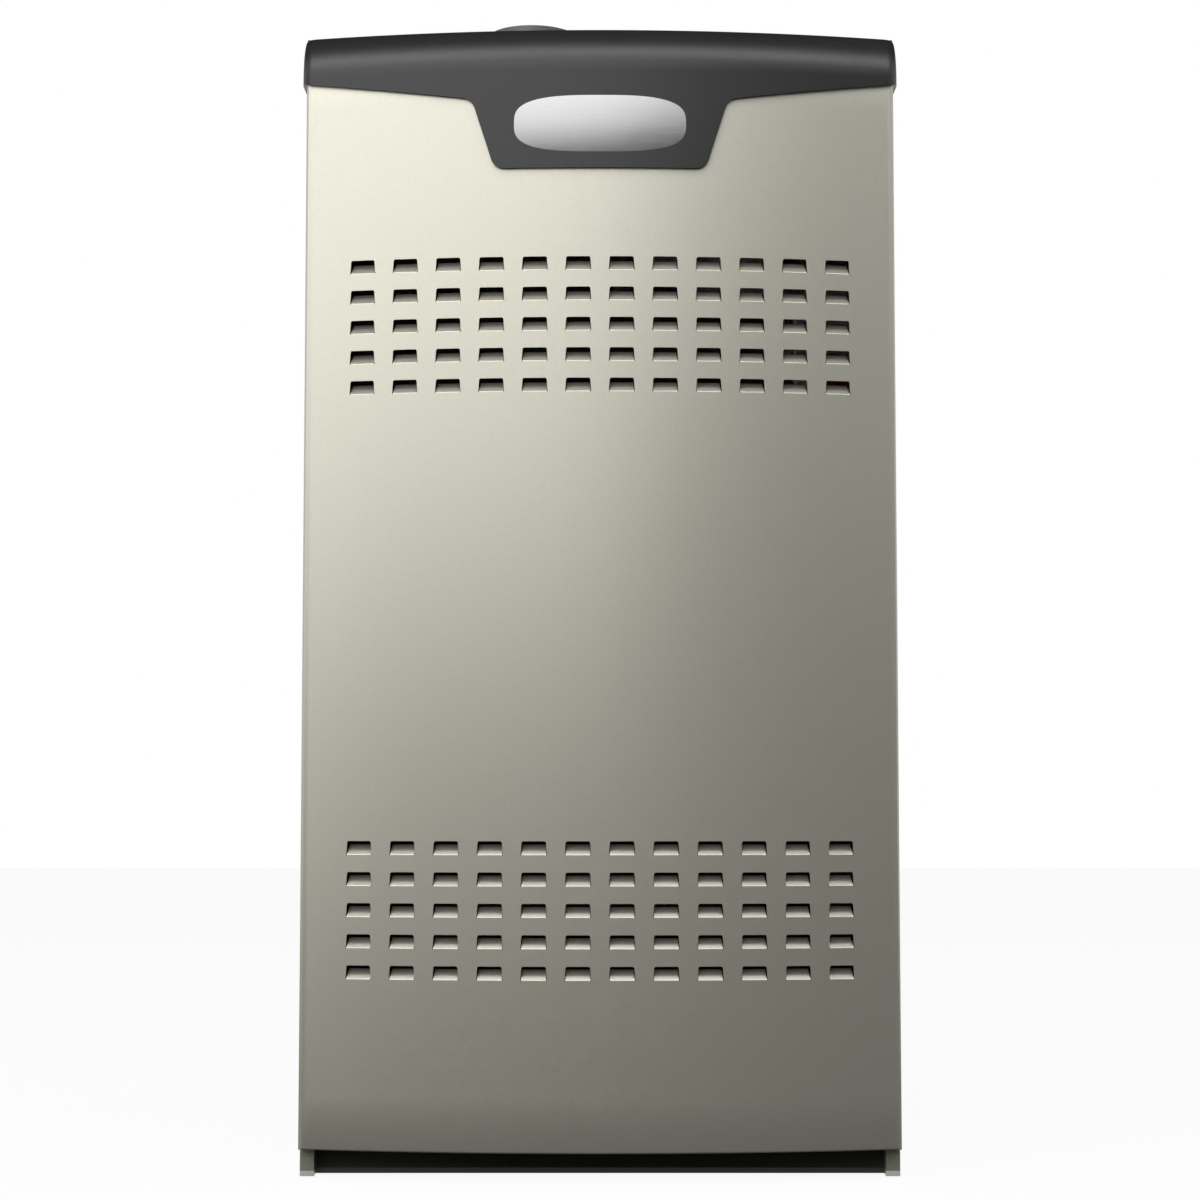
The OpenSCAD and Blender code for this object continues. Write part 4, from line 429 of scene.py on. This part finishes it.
LOOKS = {
    paint: ["cabinet_wrapper", "top_panel", "front_panel"],
    toe_paint: ["toe_rail"],
    zinc: ["base_pan", "supply_flange", "blower_deck", "vestibule_panel", "panel_stiffeners",
           "burner_box", "blower_housing", "control_box", "junction_box", "motor_mount"],
    # Painted shade: these inner parts are given dark paint so that the louvre slots look black
    painted_shade_inner: ["burner_cover", "blower_door"],
    foil_lining: ["cabinet_lining", "panel_pad"],
    screw_zinc: ["cabinet_screws", "catch_studs"],
    black_rubber: ["hole_grommets", "panel_gaskets", "rubber_hoses", "inducer_gasket"],
    # The reset buttons get black plastic instead of their own red: painted shade, so that they read
    # as the dark behind the louvres
    black_plastic: ["catch_sockets", "cold_end_header", "condensate_trap", "pressure_switch",
                    "rollout_switches", "door_switch", "reset_button_left", "reset_button_right"],
    cap_plastic: ["top_cap"],
    badge_metal: ["badge_plate"],
    exchanger: ["heat_exchanger", "collector_box"],
    coil_metal: ["secondary_coil"],
    burner_steel: ["burners"],
    black_iron: ["gas_manifold"],
    brass: ["gas_orifices"],
    cast_aluminium: ["gas_valve", "inducer_housing"],
    red_plastic: ["gas_valve_knob"],
    white_ceramic: ["ignitor", "flame_sensor"],
    limit_body: ["limit_switch"],
    wheel_plastic: ["inducer_wheel"],
    shaft_steel: ["inducer_shaft", "blower_shaft"],
    motor_paint: ["inducer_motor", "blower_motor"],
    vent_plastic: ["exhaust_pipe", "exhaust_coupling", "intake_coupling"],
    wheel_zinc: ["blower_wheel"],
    clear_glass: ["sight_glasses"],
    circuit_board: ["control_board"],
    transformer_iron: ["transformer"],
    white_plastic: ["switch_plunger"],
    wire_rubber: ["wiring_harness"],
}
for material, nodes in LOOKS.items():
    for node in nodes:
        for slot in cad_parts[node].material_slots:
            slot.material = material


# ---------------------------------------------------------------- front panel
def on_bow(angle, z, inset=0.0):
    r = BOW_R - inset
    return (r * math.sin(angle), BOW_CY - r * math.cos(angle), z)


def front_panel():
    """One bent sheet: bowed face with lanced louvres, folded edges, side walls and lips."""
    cols, rows, pitch_x, pitch_z = 12, 5, 0.0324, 0.02283
    # A slot: half its width at the top and below, its height, the clearance beside its tongue
    top_half, low_half, slot_h, gap = 0.00895, 0.0097, 0.0104, 0.0005
    # Its rounded upper corners, and how much wider it is where they start
    fillet, flare = 0.0012, 0.00009
    # Height of the uppermost slots' tops in each field
    low_field, high_field = 0.2477, 0.6821
    # Radii of the upright corners and of the folds at the bottom and top
    corner, fold_r = 0.003, 0.0015
    # Rows: height and what the row is
    levels = [(DOOR_Z0 + fold_r, "plain"), (0.06, "plain"), (0.11, "plain")]
    for field in (low_field, high_field):
        for row in reversed(range(rows)):
            top = field - row * pitch_z
            levels += [(top - slot_h, "low"), (top - fillet, "mid"), (top, "top")]
        if field == low_field:
            levels += [(z, "plain") for z in (0.30, 0.38, 0.46, 0.53)]
    levels += [(z, "plain") for z in (0.72, 0.77, 0.80, DOOR_Z1 - fold_r)]
    # Upright lines: the slot's middle as an angle on the bow, side of it, inset, kind, column
    edge_angle = math.asin((HALF_W - corner) / BOW_R)
    lines = []
    for c in range(cols):
        centre = math.asin((c - (cols - 1) / 2) * pitch_x / BOW_R)
        for side in (-1, 1):
            pairs = ((0.0, "edge"), (gap, "tongue"), (fillet, "fillet"))
            for inset, kind in (pairs if side < 0 else reversed(pairs)):
                lines.append((centre, side, inset, kind, c))
        if c < cols - 1:
            following = math.asin((c + 1 - (cols - 1) / 2) * pitch_x / BOW_R)
            lines.append(((centre + following) / 2, 0, 0, "between", c))
    extra = [(-edge_angle * f, 0, 0, "between", -1) for f in (1.0, 0.985, 0.95, 0.915)]
    lines = extra + lines + [(-a, s, i, k, cols) for a, s, i, k, _ in reversed(extra)]

    def angle_of(line, kind):
        """Where the line crosses a row of that kind."""
        centre, side, inset, _, _ = line
        if side == 0:
            return centre
        widths = {"low": low_half, "top": top_half, "mid": top_half + flare}
        half = widths.get(kind, (low_half + top_half) / 2)
        return centre + side * math.atan((half - inset) / BOW_R)

    verts, faces, index = [], [], {}

    def vertex(key, co):
        if key not in index:
            index[key] = len(verts)
            verts.append(co)
        return index[key]

    for i in range(len(lines)):
        for j, (z, kind) in enumerate(levels):
            vertex((i, j), on_bow(angle_of(lines[i], kind), z))
    for i in range(len(lines) - 1):
        kinds = (lines[i][3], lines[i + 1][3])
        inside = lines[i][4] == lines[i + 1][4] and "between" not in kinds
        for j in range(len(levels) - 1):
            if inside and levels[j][1] in ("low", "mid"):
                continue
            faces.append((index[i, j], index[i + 1, j], index[i + 1, j + 1], index[i, j + 1]))
    # The rounded upper corners of the slots
    for i, (centre, side, _, kind, _) in enumerate(lines):
        if kind != "edge":
            continue
        for j, (z, level) in enumerate(levels):
            if level != "top":
                continue
            arc = []
            for k in range(1, 4):
                a = math.radians(90 * k / 4)
                half = top_half - fillet * (1 - math.cos(a))
                co = on_bow(centre + side * math.atan(half / BOW_R), z - fillet * (1 - math.sin(a)))
                arc.append(vertex((i, j, "arc", k), co))
            faces.append([index[i, j], index[i, j - 1]] + arc
                         + [index[i - 2 * side, j], index[i - side, j]])
    # Tongues: a bend and a flat blade from the middle strip of each slot's lower edge
    tilt, length, bend_r, bends = math.radians(44), 0.0108, 0.0012, 4
    narrow = low_half - top_half
    for i in range(len(lines) - 1):
        if lines[i][3] != "tongue" or lines[i][1] > 0:
            continue
        strip = range(i, i + 4)
        for j, (z, kind) in enumerate(levels):
            if kind != "low":
                continue
            path = []
            for k in range(1, bends + 1):
                a = tilt * k / bends
                path.append((bend_r * (1 - math.cos(a)), bend_r * math.sin(a)))
            inward, up = path[-1]
            rest = length - bend_r * tilt
            for f in (0.5, 1.0):
                path.append((inward + rest * f * math.sin(tilt), up + rest * f * math.cos(tilt)))
            last = [index[m, j] for m in strip]
            centre = lines[i][0]
            for k, (d, h) in enumerate(path):
                row = []
                for m in strip:
                    _, side, inset, _, _ = lines[m]
                    local_x = side * (low_half - inset - narrow * min(1.0, h / slot_h))
                    x = local_x * math.cos(centre) + (BOW_R - d) * math.sin(centre)
                    y = BOW_CY - (BOW_R - d) * math.cos(centre) + local_x * math.sin(centre)
                    row.append(vertex((m, j, "tongue", k), (x, y, z + h)))
                for q in range(3):
                    faces.append((last[q], last[q + 1], row[q + 1], row[q]))
                last = row
    # Folded flanges along the bottom and top edges
    fold_depth, fold_gap = 0.0135, 0.0003
    for j, sign in ((0, -1), (len(levels) - 1, 1)):
        z0 = levels[j][0]
        path = [(fold_r * (1 - math.cos(math.radians(a))), fold_r * math.sin(math.radians(a)))
                for a in (30, 60, 90)]
        path.append((fold_depth, fold_r))
        for k, (d, h) in enumerate(path):
            for i in range(len(lines)):
                angle = angle_of(lines[i], "plain")
                deepest = BOW_R - (BOW_CY - Y_PANEL) / math.cos(angle) - fold_gap
                vertex((i, j, "fold", k), on_bow(angle, z0 + sign * h, min(d, deepest)))
        for i in range(len(lines) - 1):
            before = [index[i, j], index[i + 1, j]]
            for k in range(len(path)):
                now = [index[i, j, "fold", k], index[i + 1, j, "fold", k]]
                faces.append((before[0], before[1], now[1], now[0]))
                before = now
    # Rounded upright corners, side walls and lips. A corner's centre lies this share of the full
    # depth behind the bow's end
    pull = 0.98
    lip_r, lip_mid, lip_w = 0.0012, 0.00035, 0.0095
    for side, first in ((-1, 0), (1, len(lines) - 1)):
        x_edge, y_edge, _ = on_bow(side * edge_angle, 0)
        centre = Vector((side * (HALF_W - corner), y_edge + corner * math.cos(edge_angle) * pull))
        plan = []
        start = math.atan2(y_edge - centre.y, abs(x_edge) - abs(centre.x))
        for k in range(1, 7):
            a = start - start * k / 6
            plan.append((centre.x + side * corner * math.cos(a), centre.y + corner * math.sin(a)))
        plan += [(side * HALF_W, Y_PANEL - lip_r), (side * (HALF_W - lip_mid), Y_PANEL - lip_mid),
                 (side * (HALF_W - lip_r), Y_PANEL), (side * (HALF_W - lip_w), Y_PANEL)]
        for j, (z, _) in enumerate(levels):
            zz = DOOR_Z0 if j == 0 else DOOR_Z1 if j == len(levels) - 1 else z
            for k, (x, y) in enumerate(plan):
                vertex((side, k, j), (x, y, zz))
        for j in range(len(levels) - 1):
            ring = [[index[first, jj]] + [index[side, k, jj] for k in range(len(plan))]
                    for jj in (j, j + 1)]
            for k in range(len(plan)):
                faces.append((ring[0][k], ring[0][k + 1], ring[1][k + 1], ring[1][k]))
    obj = piece("front_panel_sheet", verts, faces, "front_panel_body", paint)
    # The outer face has to look outwards, so that the thickness goes inwards. Areas are in m2
    mesh = obj.data
    facing = sum(p.area for p in mesh.polygons if p.normal.y < -0.5 and p.center.y < Y_EDGE)
    if facing < 0.1:
        mesh.flip_normals()
    solidify(obj, SHEET)
    bevel(obj, width=0.00022, segments=2, angle=40)
    settle(obj, lambda co: Vector((co.x, co.y - BOW_CY, 0)))
    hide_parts("front_panel")


# ---------------------------------------------------------------- top cap
def top_cap():
    """Moulded shell that follows the bow, with a rounded shoulder, side lips and a middle bib."""
    corner_r, shoulder = 0.007, 0.040
    face_top = CAP_TOP - shoulder
    # Lowest edge of the bib, where the bib meets the lower edge, and that edge at the cap's ends
    bib_low, bib_high, side_low = CAB_H - 0.0894, CAB_H - 0.0362, CAB_H - 0.0191
    outline = round_corners([(0.0, bib_low), (0.0792, bib_low), (0.0963, bib_high),
                             (CAP_X, side_low), (CAP_X, CAP_TOP), (0.0, CAP_TOP)],
                            [0, 0.010, 0.011, 0, 0, 0], 10)
    lower = [p for p in outline if p[1] < CAB_H - 0.015]
    column_pitch = 0.008
    right = []
    for (x0, z0), (x1, z1) in zip(lower, lower[1:]):
        steps = max(1, int(math.hypot(x1 - x0, z1 - z0) / column_pitch))
        right += [(x0 + (x1 - x0) * k / steps, z0 + (z1 - z0) * k / steps)
                  for k in range(steps)]
    # Close columns where the upright corners are rounded
    end_x, end_z = lower[-1]
    right = [p for p in right if p[0] < end_x - corner_r]
    slope = (end_z - right[-1][1]) / (end_x - right[-1][0])
    for k in range(7):
        x = end_x - corner_r * (1 - math.sin(math.radians(15 * k)))
        right.append((x, end_z - slope * (end_x - x)))
    columns = [(-x, z) for x, z in reversed(right[1:])] + right
    # The rearmost that the face comes, and the lower end of the shell's back
    y_last, back_low = Y_CAP_BACK - 0.001, CAB_H + 0.0004
    verts, faces = [], []

    def past_corner(x):
        """How far x lies past the start of the rounded upright corner."""
        return max(0.0, abs(x) - (CAP_X - corner_r))

    for x, z_low in columns:
        inward = corner_r - math.sqrt(max(0.0, corner_r ** 2 - past_corner(x) ** 2))
        column = []
        for f in (0.0, 0.04, 0.12, 0.3, 0.5, 0.7, 0.88, 1.0):
            column.append((CAP_R, z_low + (face_top - z_low) * f))
        for k in range(1, 17):
            a = math.radians(90 * k / 16)
            column.append((CAP_R - shoulder * (1 - math.cos(a)),
                           face_top + shoulder * math.sin(a)))
        points = []
        for r, z in column:
            y = BOW_CY - math.sqrt(r * r - x * x) + inward
            points.append((x, min(y, y_last), z))
        y_top = points[-1][1]
        if y_top < y_last:
            points += [(x, y_top + (Y_CAP_BACK - y_top) * f, CAP_TOP) for f in (0.5, 1.0)]
        else:
            points += [(x, Y_CAP_BACK, CAP_TOP)] * 2
        points.append((x, Y_CAP_BACK, back_low))
        ring = len(points)
        verts += points
    for i in range(len(columns) - 1):
        for j in range(ring - 1):
            a, b = i * ring + j, (i + 1) * ring + j
            faces.append((a, b, b + 1, a + 1))
    # Side walls
    for i in (0, len(columns) - 1):
        x = columns[i][0]
        base = i * ring
        corner = len(verts)
        verts.append((x, Y_CAP_BACK, side_low))
        faces.append([base + j for j in range(ring)] + [corner])
    obj = piece("top_cap_shell", verts, faces, "front_panel_body", cap_plastic)
    facing = sum(p.area for p in obj.data.polygons if p.normal.y < -0.5)
    if facing < 0.01:
        obj.data.flip_normals()
    solidify(obj, thickness=0.0026)
    bevel(obj, width=0.0006, segments=3, angle=38)

    def outward(co):
        """The form's own direction there: bow, rounded corner, shoulder or flat top."""
        flat = Vector((co.x, co.y - BOW_CY, 0))
        sine = past_corner(co.x) / corner_r
        if sine > 0:
            bent = flat.normalized() * math.sqrt(max(0.0, 1 - sine * sine))
            bent.x += math.copysign(sine, co.x)
            return bent + Vector((0, 0, max(0.0, co.z - face_top) / shoulder))
        over_edge = flat.length - (CAP_R - shoulder)
        if co.z <= face_top:
            return flat
        if over_edge <= 0:
            return Vector((0, 0, 1))
        return flat.normalized() * over_edge + Vector((0, 0, co.z - face_top))

    settle(obj, outward)
    # The thickness of the rounded corners mustn't pass the cap's ends
    for vert in obj.data.vertices:
        vert.co.x = max(-CAP_X, min(CAP_X, vert.co.x))
    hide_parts("top_cap")


# ---------------------------------------------------------------- badge
def badge():
    """Blank brushed plate: a shallow dome with a rounded rim, on the bib."""
    half_x, half_z, z0 = 0.0644, 0.0215, CAB_H - 0.056
    power = 2 / 3.1     # its outline is a superellipse of exponent 3.1
    around = 96
    # Share of the outline, and height over the cap's face
    profile = [(1.0, -0.0012), (1.0, 0.00005), (0.997, 0.00015), (0.990, 0.00022),
               (0.975, 0.00030), (0.94, 0.00038), (0.88, 0.00047), (0.78, 0.00057),
               (0.65, 0.00066), (0.48, 0.00074), (0.30, 0.00078), (0.12, 0.0008)]
    verts, faces = [], []
    for scale, rise in profile:
        for k in range(around):
            t = 2 * math.pi * k / around
            x = half_x * scale * math.copysign(abs(math.cos(t)) ** power, math.cos(t))
            z = half_z * scale * math.copysign(abs(math.sin(t)) ** power, math.sin(t))
            r = CAP_R + rise
            verts.append((x, BOW_CY - math.sqrt(r * r - x * x), z0 + z))
    verts.append((0, BOW_CY - CAP_R - profile[-1][1], z0))
    for j in range(len(profile) - 1):
        for k in range(around):
            a, b = j * around + k, j * around + (k + 1) % around
            faces.append((a, b, b + around, a + around))
    last = (len(profile) - 1) * around
    for k in range(around):
        faces.append((last + k, last + (k + 1) % around, len(verts) - 1))
    obj = piece("badge_dome", verts, faces, "front_panel_body", badge_metal)
    # The dome is too shallow for its few faces, so its normals are set as those of a lens
    lens_x, lens_z, rim = 1.6, 8.5, 0.0001
    normals = [corner.vector.copy() for corner in obj.data.corner_normals]
    for i, loop in enumerate(obj.data.loops):
        co = obj.data.vertices[loop.vertex_index].co
        if math.hypot(co.x, co.y - BOW_CY) > CAP_R + rim:
            normals[i] = Vector((co.x * lens_x, co.y - BOW_CY, (co.z - z0) * lens_z)).normalized()
    obj.data.normals_split_custom_set(normals)
    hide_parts("badge_plate")


front_panel()
top_cap()
badge()


# ---------------------------------------------------------------- floor, light and background
def shown(tree):
    """1 for rays that look at the background: from the camera, off a gloss or through glass."""
    path = tree.nodes.new("ShaderNodeLightPath")
    total = path.outputs["Is Camera Ray"]
    for name in ("Is Glossy Ray", "Is Transmission Ray"):
        both = tree.nodes.new("ShaderNodeMath")
        both.operation = "MAXIMUM"
        tree.links.new(total, both.inputs[0])
        tree.links.new(path.outputs[name], both.inputs[1])
        total = both.outputs[0]
    return total


def blank_tree(owner):
    owner.use_nodes = True
    owner.node_tree.nodes.clear()
    return owner.node_tree


def two_ways(tree, unseen, seen, out):
    """One shader for rays that look at the background, another for those that light the part."""
    mix = tree.nodes.new("ShaderNodeMixShader")
    tree.links.new(shown(tree), mix.inputs[0])
    tree.links.new(unseen.outputs[0], mix.inputs[1])
    tree.links.new(seen.outputs[0], mix.inputs[2])
    tree.links.new(mix.outputs[0], out.inputs["Surface"])


def floor_material():
    material = bpy.data.materials.new("pale_floor")
    tree = blank_tree(material)
    out = tree.nodes.new("ShaderNodeOutputMaterial")
    seen = tree.nodes.new("ShaderNodeBsdfDiffuse")
    seen.inputs["Color"].default_value = (0.93, 0.93, 0.93, 1)
    glow = tree.nodes.new("ShaderNodeEmission")
    glow.inputs["Color"].default_value = (1, 1, 1, 1)
    pale = tree.nodes.new("ShaderNodeMixShader")
    pale.inputs[0].default_value = 0.93
    tree.links.new(seen.outputs[0], pale.inputs[1])
    tree.links.new(glow.outputs[0], pale.inputs[2])
    unseen = tree.nodes.new("ShaderNodeBsdfDiffuse")
    unseen.inputs["Color"].default_value = (0.2, 0.2, 0.195, 1)
    two_ways(tree, unseen, pale, out)
    return material


def stage_plane(name, width, height, material):
    w, h = width / 2, height / 2
    mesh = bpy.data.meshes.new(name)
    mesh.from_pydata([(-w, -h, 0), (w, -h, 0), (w, h, 0), (-w, h, 0)], [], [(0, 1, 2, 3)])
    mesh.materials.append(material)
    obj = bpy.data.objects.new(name, mesh)
    scene.collection.objects.link(obj)
    return obj


def aim(obj, location, target):
    obj.location = location
    toward = Vector(target) - Vector(location)
    obj.rotation_euler = toward.to_track_quat("-Z", "Y").to_euler()


stage_plane("floor", 18, 18, floor_material())

world = bpy.data.worlds.new("world")
scene.world = world
tree = blank_tree(world)
ambient = tree.nodes.new("ShaderNodeBackground")
ambient.inputs["Color"].default_value = (0.98, 0.99, 1.0, 1)
ambient.inputs["Strength"].default_value = 0.32
white = tree.nodes.new("ShaderNodeBackground")
white.inputs["Color"].default_value = (1, 1, 1, 1)
two_ways(tree, ambient, white, tree.nodes.new("ShaderNodeOutputWorld"))


def flag(name, location, target, width, height):
    """A dark card that only reflections show, as beside a glossy object in a studio."""
    material = bpy.data.materials.new(name + "_cloth")
    tree = blank_tree(material)
    cloth = tree.nodes.new("ShaderNodeBsdfDiffuse")
    cloth.inputs["Color"].default_value = (0.02, 0.02, 0.02, 1)
    tree.links.new(cloth.outputs[0], tree.nodes.new("ShaderNodeOutputMaterial").inputs["Surface"])
    card = stage_plane(name, width, height, material)
    aim(card, location, target)
    card.visible_camera = card.visible_diffuse = False
    card.visible_shadow = card.visible_transmission = False


def softbox(name, location, target, size, radiance):
    """An area lamp of the given radiance; its power follows from its area."""
    data = bpy.data.lights.new(name, "AREA")
    data.shape = "RECTANGLE"
    data.size, data.size_y = size
    data.energy = radiance * math.pi * size[0] * size[1]
    lamp = bpy.data.objects.new(name, data)
    aim(lamp, location, target)
    lamp.visible_camera = False
    scene.collection.objects.link(lamp)


# Name, place, what it is aimed at, width and height, radiance
softbox("key", (-0.84, -2.2, 1.58), (0.0, -0.37, 0.6), (2.6, 2.1), 1.68)
softbox("overhead", (0.0, -1.25, 2.2), (0.0, -0.35, 0.85), (3.0, 0.6), 3.7)
softbox("right_fill", (2.0, -2.1, 1.5), (0.1, -0.35, 0.6), (1.5, 1.4), 0.5)
softbox("back_left", (-2.2, 2.2, 1.6), (0.0, 0.2, 0.45), (1.6, 1.6), 0.8)
softbox("back_right", (2.2, 2.2, 1.6), (0.0, 0.2, 0.45), (1.6, 1.6), 0.8)
# Name, place, what it is aimed at, width, height
flag("front_flag", (0.5, -4.2, 0.2), (0.0, 0.0, 0.4), 6.0, 2.6)
flag("right_flag", (2.6, -3.0, 0.9), (0.0, -0.3, 0.5), 2.6, 3.4)
flag("low_flag", (0.0, -1.37, 0.004), (0.0, -1.37, 1.0), 4.0, 4.0)
flag("back_flag", (0.0, 3.2, 1.7), (0.0, 0.0, 0.9), 3.4, 1.7)
flag("top_flag", (0.0, 1.0, 2.7), (0.0, -0.3, 0.86), 6.5, 4.6)

scene.view_settings.view_transform = "Standard"
